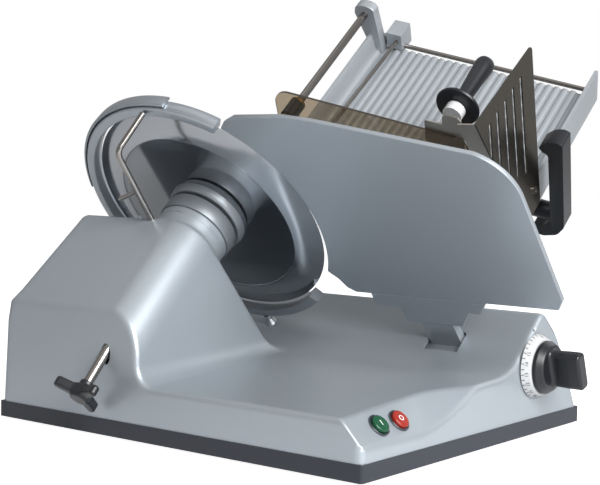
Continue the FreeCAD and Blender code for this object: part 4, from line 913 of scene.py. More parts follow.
def screw_tree() -> RepeatTree:
    """Builds the tree that sets a socket head screw, mouth along +Z, on each point.

    Returns:
        The tree.
    """
    tree = RepeatTree("socket_screws", Radius=4.0, Height=2.0, Depth=6.0)
    add, value = tree.add, tree.value
    inner = add("ShaderNodeMath", {"operation": "MULTIPLY", 1: SOCKET_SHARE}, {0: value("Radius")})
    deep = add("ShaderNodeMath", {"operation": "MULTIPLY", 1: -0.5}, {0: value("Depth")})
    half = add("ShaderNodeMath", {"operation": "MULTIPLY", 1: 0.5}, {0: value("Height")})
    head = add("GeometryNodeMeshCylinder", {"Vertices": 32},
               {"Radius": value("Radius"), "Depth": value("Height")})
    socket = add("GeometryNodeMeshCylinder", {"Vertices": 6}, {"Radius": inner, "Depth": value("Height")})
    neck = add("GeometryNodeMeshCylinder", {"Vertices": 24}, {"Radius": inner, "Depth": value("Depth")})
    lift = add("ShaderNodeCombineXYZ", {}, {"Z": half})
    sink = add("ShaderNodeCombineXYZ", {}, {"Z": deep})
    raised = add("GeometryNodeTransform", {}, {"Geometry": socket, "Translation": lift})
    cut = add("GeometryNodeMeshBoolean", {"operation": "DIFFERENCE"}, {0: head, 1: raised})
    cap = add("GeometryNodeTransform", {}, {"Geometry": cut, "Translation": lift})
    shank = add("GeometryNodeTransform", {}, {"Geometry": neck, "Translation": sink})
    screw = add("GeometryNodeJoinGeometry", {}, {0: cap})
    tree.tree.links.new(shank, screw.node.inputs[0])
    screws = add("GeometryNodeInstanceOnPoints", {}, {"Points": value("Geometry"), "Instance": screw})
    tree.finish(screws, DARK_STEEL)
    return tree


def solid_of(name: str, cell: float, surface: Field, low: Triple, high: Triple, finish: Finish,
             place: Matrix) -> Object:
    """Makes a solid from a distance field in a local frame, shaded with the field's own slope.

    Args:
        name: the piece's name.
        cell: the grid's spacing.
        surface: the field.
        low, high: the corners of the searched box.
        finish: the piece's finish.
        place: the matrix from the local frame to the scene.

    Returns:
        The object.
    """
    vertices, faces = surface_mesh(surface, low, high, cell)
    piece = new_piece(name, vertices, faces.tolist(), finish, place, 180.0)
    smooth = unit(gradient(vertices, surface))[faces]
    middle = vertices[faces].mean(1, keepdims=True)
    flat = unit(gradient((1.0 - SHADE_INSET) * vertices[faces] + SHADE_INSET * middle, surface))
    edge = (smooth * flat).sum(-1) < SHADE_CREASE
    smooth[edge] = flat[edge]
    turned = smooth.reshape(-1, 3) @ np.array(place.to_3x3().normalized()).T
    piece.data.normals_split_custom_set(turned.tolist())
    return piece


def repaint(piece: Object, finish: Finish, place: Matrix, test: Callable[[Vector], bool]) -> None:
    """Gives another finish to the faces whose centre, in the local frame, passes the test.

    Args:
        piece: the piece.
        finish: the other finish.
        place: the matrix from the local frame to the scene.
        test: tells from a face's centre, in millimetres, whether it is one of them.
    """
    back = place.inverted()
    piece.data.materials.append(finish.build())
    for face in piece.data.polygons:
        if test(back @ face.center):
            face.material_index = len(piece.data.materials) - 1


def dress(finish: Finish, *nodes: str) -> None:
    """Gives CAD nodes that stay as they are their finish.

    Args:
        finish: the finish.
        nodes: the nodes.
    """
    for node in nodes:
        piece = frame["nodes"][node]
        if not piece.material_slots:
            piece.data.materials.append(None)
        for held in piece.material_slots:
            held.material = finish.build()


def lettering(name: str, words: Sequence[tuple[str, Matrix]], size: float, finish: Finish,
              depth: float) -> Object:
    """Sets words as raised print.

    Args:
        name: the piece's name.
        words: each word with the frame whose XY plane it lies in.
        size: the letters' size.
        finish: the print's finish.
        depth: how thick the print is.

    Returns:
        One object with every word.
    """
    made = bmesh.new()
    for word, place in words:
        curve = bpy.data.curves.new(name, "FONT")
        curve.body, curve.size, curve.extrude = word, size, depth / 2.0
        curve.align_x, curve.align_y, curve.resolution_u = "CENTER", "CENTER", 3
        carrier = bpy.data.objects.new(name + "_word", curve)
        bpy.context.scene.collection.objects.link(carrier)
        mesh = plain_mesh(carrier)
        mesh.transform(place)
        made.from_mesh(mesh)
        bpy.data.meshes.remove(mesh)
    bmesh.ops.remove_doubles(made, verts=made.verts, dist=MERGE_PRINT)
    return show(name, as_mesh(made, name), finish, PRINT_SHARP_DEG)


# ---------------------------------------------------------------- base
@dataclass
class Casting:
    """Hollow cast housing: tray, rear slope, motor hump, neck and button panel in one."""

    low: Triple = (-278.0, -243.0, 17.0)
    high: Triple = (278.0, 243.0, 262.0)
    cell: float = 3.9
    half_x: float = 273.5
    half_y: float = 238.5
    bottom: float = 22.0
    draft: float = 0.026
    wall: float = 4.6
    corner_radius: float = 10.0
    inner_corner: float = 12.0
    edge: float = 6.5
    # The side wall's edge grows rounder at the upper left, and the end walls' edges grow tighter above
    # the tray's left part. Each pair is where that starts and how far it takes, towards -X or upwards.
    left_gain: float = 13.0
    left_side: Pair = (200.0, 40.0)
    left_rise: Pair = (110.0, 50.0)
    front_loss: float = 2.0
    front_side: Pair = (40.0, 30.0)
    front_rise: Pair = (85.0, 20.0)
    tray_front: float = 66.0
    tray_rise: float = 0.045
    slope_h: float = -196.3
    slope_radius: float = 16.0
    # Planes behind the ridge, from its top down to the rear wall.
    roof: Triple = (0.0, 202.0, 104.0)
    roof_normal: Triple = (0.0, 0.652, 0.758)
    eaves_normal: Triple = (0.0, 0.923, 0.3836)
    skirt: Triple = (0.0, 229.0, 39.0)
    skirt_normal: Triple = (0.0, 0.873, 0.488)
    hump_top: float = 55.0
    hump_rear: float = 72.0
    hump_right: float = 58.0
    hump_flare: float = 0.095
    crest_radius: float = 42.0
    foot_radius: float = 22.0
    neck_radius: float = 47.5
    neck_end: float = 46.0
    neck_flare: float = 9.5
    neck_bore: float = 42.5
    neck_depth: float = 20.0
    panel_edge: Triple = (273.5, -67.8, 37.0)
    panel_normal: Triple = (0.7071, 0.0, 0.7071)
    facet_normal: Triple = (0.316, -0.524, 0.791)
    facet_radius: float = 30.0
    button_bore: float = 12.2
    button_depth: float = 12.0
    # Slot that the carriage's arm travels in, and the slot of the gauge bracket's stem.
    slot_x: Pair = (-207.0, 151.0)
    slot_y: Pair = (159.0, 185.0)
    slot_floor: float = 98.0
    stem_across: Pair = (255.0, 305.0)
    stem_down: Pair = (-7.5, 23.0)
    stem_depth: float = 40.0
    dial_bore: float = 9.05
    dial_from: float = 250.0
    dot_place: Triple = (270.8, DIAL_Y, 129.5)
    clamp_x: float = -95.0
    clamp_z: float = 97.5
    clamp_wide: float = 7.6
    clamp_tall: float = 12.5
    clamp_end: float = -215.0
    # Keeps the slope of the oval's stretched field near 1.
    clamp_calm: float = 0.6

    def sides(self, points: Points) -> tuple[np.ndarray, np.ndarray]:
        """Distances outside the drafted side walls and the front and rear walls."""
        lean = self.draft * (points[..., 2] - self.bottom)
        return np.abs(points[..., 0]) - self.half_x + lean, np.abs(points[..., 1]) - self.half_y + lean

    def core(self, points: Points) -> np.ndarray:
        """Outer skin without neck and holes.

        Args:
            points: places in world millimetres.

        Returns:
            The distance outside it.
        """
        x, _, z = split(points)
        across, up, down = split(local(points, BLADE))
        tray = plane(points, (0, -self.half_y, self.tray_front), (0, -self.tray_rise, 1))
        wedge = round_meet(up - self.slope_h, plane(points, self.roof, self.roof_normal), 9.0)
        slab = round_join(tray, wedge, self.slope_radius)
        slab = round_meet(slab, plane(points, self.roof, self.eaves_normal), 14.0)
        slab = round_meet(slab, plane(points, self.skirt, self.skirt_normal), 8.0)
        flank = across - (self.hump_right + self.hump_flare * (down - self.hump_rear))
        hump = round_meet(up - self.hump_top, flank, self.crest_radius)
        hump = round_meet(hump, self.hump_rear - down, 7.0)
        body = round_join(slab, hump, self.foot_radius)
        side, end = self.sides(points)
        left = ramp(-x, *self.left_side) * ramp(z, *self.left_rise)
        front = ramp(-x, *self.front_side) * ramp(z, *self.front_rise)
        body = round_meet(body, end, self.edge - self.front_loss * front)
        return round_meet(body, side, self.edge + self.left_gain * left)

    def corner(self, points: Points, body: np.ndarray, radius: float) -> np.ndarray:
        """Rounds the upright corners of the base."""
        side, end = self.sides(points)
        return np.maximum(body, round_meet(side, end, radius))

    def panel(self, points: Points) -> np.ndarray:
        """Distance outside the button panel and its end facet."""
        return round_join(plane(points, self.panel_edge, self.panel_normal),
                          plane(points, self.panel_edge, self.facet_normal), self.facet_radius)

    def bored(self, points: Points, body: np.ndarray) -> np.ndarray:
        """Takes the holes out of the skin.

        Args:
            points: places in world millimetres.
            body: the skin's field at those places.

        Returns:
            The field of the skin with its holes.
        """
        x, y, z = split(points)
        across, up, down = split(local(points, BLADE))
        slot = np.maximum(outside(x, self.slot_x), outside(y, self.slot_y))
        slot = np.maximum(slot, self.slot_floor - z)
        stem = np.maximum(outside(across, self.stem_across), outside(down, self.stem_down))
        stem = np.maximum(stem, self.slope_h - self.stem_depth - up)
        bore = np.maximum(np.hypot(across, up) - self.neck_bore, down - (self.hump_rear + self.neck_depth))
        dial = np.maximum(np.hypot(y - DIAL_Y, z - DIAL_Z) - self.dial_bore, self.dial_from - x)
        body = np.maximum(round_meet(body, -slot, 1.0), -stem)
        body = np.maximum(np.maximum(body, -bore), -dial)
        for place in (START_Y, STOP_Y):
            offset = points - np.array((BUTTON_X, place, BUTTON_Z))
            depth = offset @ np.array(self.panel_normal)
            radius = np.sqrt(np.maximum((offset ** 2).sum(-1) - depth ** 2, 0.0))
            body = np.maximum(body, -np.maximum(radius - self.button_bore, -self.button_depth - depth))
        oval = np.hypot((x - self.clamp_x) * self.clamp_tall / self.clamp_wide, z - self.clamp_z)
        clamp = (oval - self.clamp_tall) * self.clamp_calm
        return np.maximum(body, -np.maximum(clamp, y - self.clamp_end))

    def surface(self, points: Points) -> np.ndarray:
        """The hollow casting.

        Args:
            points: places in world millimetres.

        Returns:
            The distance outside its metal.
        """
        across, up, down = split(local(points, BLADE))
        core = round_meet(self.core(points), self.panel(points), 3.0)
        inner = self.corner(points, core, self.inner_corner) + self.wall
        neck = round_meet(np.hypot(across, up) - self.neck_radius, self.neck_end - down, 0.8)
        skin = self.corner(points, round_join(core, neck, self.neck_flare), self.corner_radius)
        shell = np.maximum(self.bored(points, skin), -inner)
        return np.maximum(shell, self.bottom - points[..., 2])

    def make(self) -> None:
        """Builds the housing and its index dot."""
        piece = solid_of("housing_casting", self.cell, self.surface, self.low, self.high, CAST_SILVER, WORLD)
        keep(piece, "root", "cast_housing", "housing")
        place = basis(Vector(self.dot_place) * UNIT, Vector((0, 1, 0)), Vector((0, 0, 1)), ACROSS)
        mark = lathe("dial_index_dot", [(0, -0.4), (1.6, -0.4), (1.6, 0.3), (1.1, 0.5), (0, 0.5)], WHITE_INK,
                     place, 24)
        keep(mark, "root", "white_dial")


@dataclass
class Underside:
    """Plinth, bottom cover, feet and cover screws."""

    screw_x: float = 263.0
    screw_y: float = 228.0
    cover_z: float = 3.0

    def make(self, screws: RepeatTree) -> None:
        """Builds what the base stands on.

        Args:
            screws: the tree that makes screws.
        """
        keep_shapes("root", ("plinth", "plinth_rim", SLATE_COAT, 1.6, "dark_plinth"),
                    ("bottom_cover", "bottom_plate", STAINLESS_SHEET, 0.3, "cover_plate"),
                    ("rubber_feet", "feet", RUBBER, 0.8, "rubber"))
        places = [(x, -y, 0.0) for x in (-self.screw_x, 0.0, self.screw_x)
                  for y in (-self.screw_y, self.screw_y)]
        down = basis(Vector((0, 0, self.cover_z * UNIT)), ACROSS, Vector((0, -1, 0)), Vector((0, 0, -1)))
        heads = screws.grow("cover_screw_heads", {"Radius": 4.0, "Height": 1.0, "Depth": 4.0}, down,
                            DARK_STEEL, places)
        keep(heads, "root", "zinc_screws", "cover_screws")


# ---------------------------------------------------------------- blade and guard
@dataclass
class BladeUnit:
    """Dished blade with its hub, the still cover behind it and the neck's cap."""

    radius: float = 165.0
    band: float = 127.0
    back: float = 3.5
    face: float = 7.2
    hub_radius: float = 54.0
    hub_top: float = 17.7
    shaft: float = 12.5
    segments: int = 256
    screw_circle: float = 33.0
    screw_turns: Triple = (90.0, 210.0, 330.0)
    screw_seat: float = 5.5

    def blade(self) -> Object:
        """Turns the blade: along the back, round the edge and back along the front.

        Returns:
            The blade.
        """
        b = self.band
        profile = [(self.shaft, self.back), (135.0, self.back), (150.0, 1.3), (self.radius - 0.3, 0.0),
                   (self.radius, 0.05), (self.radius, 0.3), (158.0, 2.6), (152.0, 4.25), (147.0, 5.6),
                   (142.0, 6.75), (137.0, 7.8), (132.0, 8.45), (b + 1.2, 8.9), (b, 9.0), (b - 1.0, 8.75),
                   (b - 1.4, 8.2), (b - 1.5, 7.75), (b - 3.0, 7.6), (110.0, 7.35), (90.0, self.face),
                   (self.shaft, self.face)]
        blade = lathe("round_blade", profile, KNIFE_STEEL, BLADE, self.segments)
        repaint(blade, GROUND_STEEL, BLADE, lambda p: math.hypot(p.x, p.y) > self.band and p.z > 0.05)
        return blade

    def hub(self) -> Object:
        """Turns the hub disc on the blade's face.

        Returns:
            The hub.
        """
        h = self.hub_radius
        return lathe("blade_hub_disc", [
            (self.shaft, self.face), (h, self.face), (h - 0.4, 10.0), (h - 1.0, 13.0), (h - 2.6, 16.6),
            (h - 3.6, 17.5), (h - 5.0, self.hub_top), (self.shaft, self.hub_top)], SATIN_SILVER, BLADE)

    def screws(self, screws: RepeatTree) -> Object:
        """Sets the screws that hold the blade, heads to the back.

        Args:
            screws: the tree that makes screws.

        Returns:
            The screws.
        """
        back = basis(BLADE_CENTRE + DOWN_SLOPE * self.screw_seat * UNIT, ACROSS, -UP_BLADE, -DOWN_SLOPE)
        turns = [math.radians(turn) for turn in self.screw_turns]
        places = [(self.screw_circle * math.cos(a), -self.screw_circle * math.sin(a), 0.0) for a in turns]
        return screws.grow("blade_screw_heads", {"Radius": 2.4, "Height": 1.9, "Depth": 7.0}, back,
                           DARK_STEEL, places)

    def make(self, screws: RepeatTree) -> None:
        """Builds the turning pieces and what closes the blade in.

        Args:
            screws: the tree that makes screws.
        """
        keep(self.blade(), "blade", "polished_blade", "blade")
        keep(self.hub(), "blade", "hub_metal", "blade_hub")
        keep(self.screws(screws), "blade", "zinc_screws", "blade_screws")
        cover = lathe("blade_back_cover", [
            (4.0, -1.0), (100.0, -1.0), (121.5, -1.0), (123.5, -0.6), (125.4, 0.2), (126.0, 0.9),
            (126.0, 3.2), (4.0, 3.2)], TURNED_SILVER, BLADE, self.segments)
        keep(cover, "root", "cover_plate", "blade_cover")
        cap = lathe("neck_cap_ring", [
            (33.0, 22.0), (48.6, 22.0), (49.7, 22.4), (50.0, 23.2), (50.0, 40.8), (49.4, 42.0), (48.4, 42.4),
            (46.6, 42.6), (46.6, 43.0), (33.0, 43.0)], SATIN_SILVER, BLADE)
        keep(cap, "root", "ring_metal", "neck_cap")
        collar = lathe("neck_end_collar", [
            (42.6, 43.0), (47.1, 43.0), (47.8, 43.7), (47.8, 52.0), (42.6, 52.0)], CAST_SILVER, BLADE)
        keep(collar, "root", "cast_housing")
        seal = lathe("hub_lip_seal", [(12.8, 18.0), (44.8, 18.0), (46.0, 18.8), (46.0, 22.0), (12.8, 22.0)],
                     RUBBER, BLADE, 120)
        keep(seal, "root", "rubber", "hub_seal")
        dress(MACHINED_STEEL, "blade_shaft", "blade_pulley", "shaft_bearings", "spindle_housing",
              "cover_tie_rod")


@dataclass
class Guard:
    """Ring round the blade, the cap on its top, its stud and stay, and the bent deflector rod."""

    inner: float = 167.3
    outer: float = 182.0
    start: float = 57.0
    end: float = 309.0
    cap_start: float = 80.0
    cap_end: float = 166.0
    cap_outer: float = 186.0

    def make(self) -> None:
        """Builds the guard."""
        i, o, c = self.inner, self.outer, self.cap_outer
        ring = lathe("guard_ring_casting", [
            (i, -3.0), (o - 4.0, -3.0), (o - 1.4, -1.9), (o, 1.0), (o, 6.0), (o - 0.8, 9.6), (o - 2.6, 12.8),
            (o - 4.2, 13.8), (o - 5.4, 14.0), (i + 1.0, 14.0), (i, 13.2)], RING_SILVER, BLADE, 200,
            self.start, self.end - self.start)
        keep(ring, "root", "ring_metal", "guard_ring")
        cap = lathe("guard_cap_segment", [
            (o + 0.3, -5.0), (c - 1.0, -5.0), (c - 0.3, -4.3), (c, -3.0), (c, 9.4), (c - 0.6, 10.6),
            (o + 1.2, 12.0), (o + 0.3, 11.6)], RING_SILVER, BLADE, 90, self.cap_start,
            self.cap_end - self.cap_start)
        keep(cap, "root", "ring_metal", "guard_cap")
        keep_shapes("root", ("guard_supports", "guard_stud_and_stay", MACHINED_STEEL, 0.5, "bright_rod"),
                    ("deflector_rod", "bent_deflector_rod", BRIGHT_ROD, 0.6, "bright_rod"))


# ---------------------------------------------------------------- controls
@dataclass
class Dial:
    """Thickness dial: conical white scale and black knob."""

    ring_radius: float = 39.4
    ring_small: float = 34.0
    ring_start: float = 0.3
    ring_width: float = 10.5
    ring_bore: float = 5.1
    ticks: int = 36
    tick_length: float = 3.6
    tick_width: float = 0.9
    tick_along: float = 2.4
    steps: int = 16
    step_deg: float = 20.0
    zero_deg: float = 90.0
    number_size: float = 6.0
    number_depth: float = 0.3
    number_along: float = 7.2
    print_lift: float = 0.05
    knob_radius: float = 32.0
    knob_flange: float = 13.0
    knob_edge: float = 5.0
    knob_lean: float = 0.62
    knob_calm: float = 0.88
    knob_length: float = 52.0
    grip_width: float = 46.0
    grip_thickness: float = 18.0
    grip_turn: float = 20.0
    waist_deep: float = 1.4
    waist_at: float = 20.0
    waist_half: float = 16.0

    def cone(self) -> Pair:
        """Returns how much the cone narrows and advances for each millimetre along it."""
        span = math.hypot(self.ring_radius - self.ring_small, self.ring_width)
        return (self.ring_radius - self.ring_small) / span, self.ring_width / span

    def on_cone(self, angle_deg: float, along: float, lift: float) -> Matrix:
        """Frame on the cone: Y towards the large edge, Z off the surface.

        Args:
            angle_deg: the place round the dial.
            along: how far from the large edge.
            lift: how far off the surface.

        Returns:
            The matrix from the frame to the scene.
        """
        turn = math.radians(angle_deg)
        outward = Vector((0, math.cos(turn), math.sin(turn)))
        fall, run = self.cone()
        up = (outward * fall - ACROSS * run).normalized()
        normal = (outward * run + ACROSS * fall).normalized()
        radius = self.ring_radius - fall * along + lift * run
        depth = self.ring_start + run * along + lift * fall
        centre = DIAL_CENTRE + (outward * radius + ACROSS * depth) * UNIT
        return basis(centre, up.cross(normal), up, normal)

    def knob(self, points: Points) -> np.ndarray:
        """Field of the knob: flange, waist and grip bar.

        Args:
            points: places in the dial's frame.

        Returns:
            The distance outside the knob.
        """
        x, y, z = points[..., 0], points[..., 1], points[..., 2] - self.ring_start - self.ring_width
        cone = np.hypot(x, y) - self.knob_radius + self.knob_lean * np.maximum(z - self.knob_edge, 0.0)
        flange = round_meet(cone * self.knob_calm, outside(z, (0.0, self.knob_flange)), 1.6)
        u, v = turned_by(x, y, self.grip_turn)
        waist = self.waist_deep * np.clip(1.0 - np.abs(z - self.waist_at) / self.waist_half, 0.0, 1.0)
        bar = round_meet(np.abs(u) - self.grip_thickness / 2.0 + waist,
                         np.abs(v) - self.grip_width / 2.0, 6.0)
        bar = round_meet(bar, outside(z, (0.0, self.knob_length)), 3.2)
        return round_join(flange, bar, 4.0)

    def scale(self, ticks: RepeatTree) -> None:
        """Builds the conical ring with its ticks and numbers.

        Args:
            ticks: the tree that makes tick marks.
        """
        a, b = self.ring_start, self.ring_start + self.ring_width
        r, s = self.ring_radius, self.ring_small
        ring = lathe("dial_scale_ring", [
            (self.ring_bore, a), (r - 0.7, a), (r - 0.2, a + 0.2), (r - 0.31, a + 0.6), (s + 0.31, b - 0.6),
            (s + 0.05, b - 0.2), (s - 0.3, b), (self.ring_bore, b)], WHITE_ABS, DIAL, 128)
        keep(ring, "dial", "white_dial", "dial_scale")
        fall, run = self.cone()
        values = {"Count": self.ticks, "Radius": r - fall * self.tick_along + self.print_lift * run,
                  "Length": self.tick_length, "Width": self.tick_width,
                  "Lean": math.pi / 2.0 + math.atan2(fall, run)}
        place = DIAL @ Matrix.Translation((0, 0, a + run * self.tick_along + self.print_lift * fall))
        keep(ticks.grow("dial_tick_marks", values, place, GREY_INK), "dial", "white_dial")
        words = [(str(i), self.on_cone(self.zero_deg - self.step_deg * i, self.number_along, self.print_lift))
                 for i in range(self.steps)]
        numbers = lettering("dial_numbers", words, self.number_size, GREY_INK, self.number_depth)
        keep(numbers, "dial", "white_dial")

    def make(self, ticks: RepeatTree) -> None:
        """Builds the dial.

        Args:
            ticks: the tree that makes tick marks.
        """
        self.scale(ticks)
        knob = solid_of("dial_grip_knob", 0.9, self.knob, (-34, -34, 9), (34, 34, 65), BLACK_NYLON, DIAL)
        keep(knob, "dial", "black_plastic", "dial_knob")
        dress(MACHINED_STEEL, "dial_spindle")
        dress(BRONZE, "cam_disc", "dial_bush")


@dataclass
class ClampKnob:
    """Clamp screw under the front edge with its three-lobed knob."""

    lobe: float = 34.0
    lobe_turns: Triple = (141.0, 261.0, 381.0)
    lobe_root: float = 7.0
    lobe_tip: float = 5.0
    lobe_height: float = 14.5
    lobe_half: float = 6.4
    hub: float = 11.0
    hub_foot: float = 7.0
    collar: float = 8.6
    length: float = 24.0
    out: float = 66.0
    dip: float = 49.0
    wall: Triple = (-95.0, -236.5, 99.0)

    def surface(self, points: Points) -> np.ndarray:
        """Field of the knob in its own frame, Z along the screw.

        Args:
            points: places in that frame.

        Returns:
            The distance outside the knob.
        """
        x, y, z = split(points)
        radius = np.hypot(x, y)
        hub = round_meet(radius - self.hub, outside(z, (self.hub_foot, self.length)), 1.8)
        collar = round_meet(radius - self.collar, outside(z, (0.0, self.length)), 1.2)
        body = np.minimum(hub, collar)
        for turn in self.lobe_turns:
            u, v = turned_by(x, y, turn)
            reach = np.clip(u, 0.0, self.lobe - self.lobe_tip)
            taper = (self.lobe_root - self.lobe_tip) * reach / (self.lobe - self.lobe_tip)
            height = np.abs(z - self.lobe_height) - self.lobe_half
            arm = round_meet(np.hypot(u - reach, v) - self.lobe_root + taper, height, 3.2)
            body = round_join(body, arm, 4.0)
        return body

    def make(self) -> None:
        """Builds the clamp."""
        out = Vector((0, -math.cos(math.radians(self.dip)), -math.sin(math.radians(self.dip))))
        turn = Vector((0, 0, 1)).rotation_difference(out).to_matrix()
        origin = Vector(self.wall) * UNIT + out * (self.out - self.length) * UNIT
        place = basis(origin, turn.col[0], turn.col[1], turn.col[2])
        knob = solid_of("three_lobe_knob", 1.0, self.surface, (-37, -37, -3), (37, 37, 27), BLACK_NYLON,
                        place)
        keep(knob, "clamp", "black_plastic", "clamp_knob")
        keep_shapes("clamp", ("clamp_rod", "clamp_screw", BRIGHT_ROD, 0.6, "bright_rod"))
        dress(MACHINED_STEEL, "clamp_nut")


class Key(Enum):
    """Push button: node, body, finish, slot, mark and place along Y."""

    START = ("start_button", "start_key", GREEN_CAP, "green_button", "I", START_Y)
    STOP = ("stop_button", "stop_key", RED_CAP, "red_button", "O", STOP_Y)


@dataclass
class Buttons:
    """Start and stop button on the sloping panel."""

    mark_height: float = 6.02
    mark_size: float = 9.5
    mark_depth: float = 0.2

    def make(self) -> None:
        """Builds both buttons, their bezels and marks."""
        normal = Vector((1, 0, 1)).normalized()
        up = Vector((-1, 0, 1)).normalized()
        for key in Key:
            node, body, finish, slot, mark, y = key.value
            keep_shapes(body, (node, node + "_cap", finish, 0.4, slot))
            centre = (Vector((BUTTON_X, y, BUTTON_Z)) + normal * self.mark_height) * UNIT
            place = basis(centre, Vector((0, 1, 0)), up, normal)
            word = lettering(node + "_mark", [(mark, place)], self.mark_size, WHITE_INK, self.mark_depth)
            keep(word, body, slot)
        keep_shapes("root", ("button_bezels", "bezel_rings", BEZEL_CHROME, 0.5, "bezel"))
        dress(BLACK_NYLON, "switch_blocks")


class Gauge:
    """Thickness plate with its bracket, and the slide inside the base."""

    def make(self) -> None:
        """Builds the plate, bracket and slide and dresses the slide's bars."""
        keep_shapes("gauge", ("gauge_plate", "thickness_plate", PLATE_SILVER, 1.4, "gauge_face"),
                    ("gauge_bracket", "thickness_bracket", PLATE_SILVER, 1.2, "gauge_face"),
                    ("gauge_slide", "thickness_slide", PLATE_SILVER, 0.5, "machined_steel"))
        dress(BRIGHT_ROD, "gauge_guide_bars")


# ---------------------------------------------------------------- carriage
@dataclass
class Carriage:
    """Ribbed table with its walls, rods, arm, slotted guard and handle."""

    p0: float = 88.0
    p1: float = 388.0
    s0: float = 8.0
    s1: float = 312.0
    floor: float = 57.0
    underside: float = 51.0
    wall_top: float = 85.0
    ribs_start: float = 118.0
    ribs_end: float = 376.0
    ribs: int = 24
    rib_width: float = 9.2
    rib_height: float = 3.0
    rod_p: float = 84.0
    rod_m: float = 116.0
    boss: float = 15.0
    boss_sink: float = 1.9
    arm_plate: float = 14.0
    rear_lug: tuple[Triple, Triple] = ((92.0, 311.5, 51.0), (102.0, 325.0, 69.5))
    handle_lug: tuple[Triple, Triple] = ((318.0, 130.0, -5.0), (342.0, 164.0, 51.2))
    guard_x: float = 400.0
    # The guard's faces that lie further than this behind its outer face are its flange.
    flange_depth: float = 2.2
    guard_screw: Pair = (116.0, -50.0)

    def block(self, name: str, corners: tuple[Triple, Triple], edge: float) -> Object:
        """Makes a box in the table's frame with rounded edges.

        Args:
            name: the piece's name.
            corners: its lowest and highest corner.
            edge: the rounding's width.

        Returns:
            The object.
        """
        low, high = corners
        outline = [(low[0], low[1]), (high[0], low[1]), (high[0], high[1]), (low[0], high[1])]
        return soften(prism(name, outline, low[2], high[2], TABLE_SILVER, TABLE), edge)

    def plate(self) -> Object:
        """Extrudes the table's plate with its upright left edge.

        Returns:
            The plate.
        """
        p, m, low, top = self.p0, self.floor, self.underside, self.wall_top
        section = [(p + 6.0, low), (p + 4.4, low + 0.8), (p + 3.4, low + 2.6), (p - 1.0, top - 1.0),
                   (p - 0.4, top), (p + 3.2, top), (p + 4.0, top - 1.0), (p + 7.4, m + 10.0),
                   (p + 8.4, m + 5.6), (p + 10.6, m + 2.4), (p + 13.6, m + 0.6), (p + 17.0, m),
                   (self.p1, m), (self.p1, low)]
        return prism("table_plate", section, -self.s1, -self.s0, TABLE_SILVER, ACROSS_TABLE)

    def rear_arm(self) -> Object:
        """Extrudes the arm that carries the holder rod at the table's rear.

        Returns:
            The arm.
        """
        low, left, right, m = self.underside, self.rod_p - self.boss, self.rod_p + self.boss, self.rod_m
        top = m + self.boss
        outline = [(self.p0 + 4.0, low), (left, m), (left + 1.2, m + 8.0), (left + 4.6, m + 12.4),
                   (left + 10.0, top - 0.6), (left + 15.0, top), (right - 10.0, top - 0.4),
                   (right - 4.0, m + 12.6), (right - 0.6, m + 8.6), (right, m + 2.0), (right + 4.0, m - 30.0),
                   (right + 7.0, self.floor), (right + 7.0, low)]
        rear = -self.s1
        arm = prism("table_rear_arm", outline, rear, rear + self.arm_plate, TABLE_SILVER, ACROSS_TABLE)
        return soften(arm, 1.2)

    def rib_rows(self, ribs: RepeatTree) -> Object:
        """Lays the ribs on the plate.

        Args:
            ribs: the tree that makes ribs.

        Returns:
            The ribs.
        """
        place = TABLE @ Matrix.Translation((self.ribs_start + self.rib_width / 2.0, self.s0, self.floor))
        return ribs.grow("table_rib_rows", {
            "Count": self.ribs, "Pitch": (self.ribs_end - self.ribs_start) / self.ribs,
            "Width": self.rib_width, "Height": self.rib_height, "Length": self.s1 - self.s0},
            place, TABLE_SILVER)

    def make(self, ribs: RepeatTree, screws: RepeatTree) -> None:
        """Builds the carriage.

        Args:
            ribs: the tree that makes ribs.
            screws: the tree that makes screws.
        """
        keep(self.plate(), "carriage", "table_metal", "carriage_table")
        for piece in (self.rib_rows(ribs), self.rear_arm(), self.block("rear_rod_lug", self.rear_lug, 1.5),
                      self.block("handle_lug", self.handle_lug, 2.0)):
            keep(piece, "carriage", "table_metal")
        keep_shapes("carriage", ("end_wall", "table_end_wall", TABLE_SILVER, 1.0, "table_metal"),
                    ("carriage_arm", "table_carrier_arm", CAST_SILVER, 3.0, "table_metal"),
                    ("carriage_rods", "table_rods", BRIGHT_ROD, 0.8, "bright_rod"),
                    ("carriage_handle", "table_handle", BLACK_NYLON, 2.2, "black_plastic"))
        guard = copied("slotted_guard", "slotted_hand_guard", STAINLESS_SHEET, 0.35)
        repaint(guard, BRUSHED_STEEL, BLADE, lambda centre: centre.x < self.guard_x - self.flange_depth)
        keep(guard, "carriage", "stainless", "slotted_guard")
        side = basis(BLADE_CENTRE, UP_SLOPE, UP_BLADE, ACROSS)
        place = side @ Matrix.Translation((*self.guard_screw, self.guard_x))
        screw = screws.grow("guard_screw", {"Radius": 5.0, "Height": 2.5, "Depth": 7.0}, place, BRIGHT_ROD,
                            [(0.0, 0.0, 0.0)])
        keep(screw, "carriage", "zinc_screws", "set_screws")
        along = basis(BLADE_CENTRE, UP_SLOPE, OFF_TABLE, ALONG_TABLE)
        place = along @ Matrix.Translation((self.s1 - self.arm_plate / 2.0, self.rod_m,
                                            self.rod_p + self.boss - self.boss_sink))
        boss = screws.grow("boss_set_screw", {"Radius": 3.9, "Height": 1.8, "Depth": 6.0}, place, DARK_STEEL,
                           [(0.0, 0.0, 0.0)])
        keep(boss, "carriage", "zinc_screws")
        dress(MACHINED_STEEL, "carriage_foot")
        dress(BRONZE, "carriage_bushes")


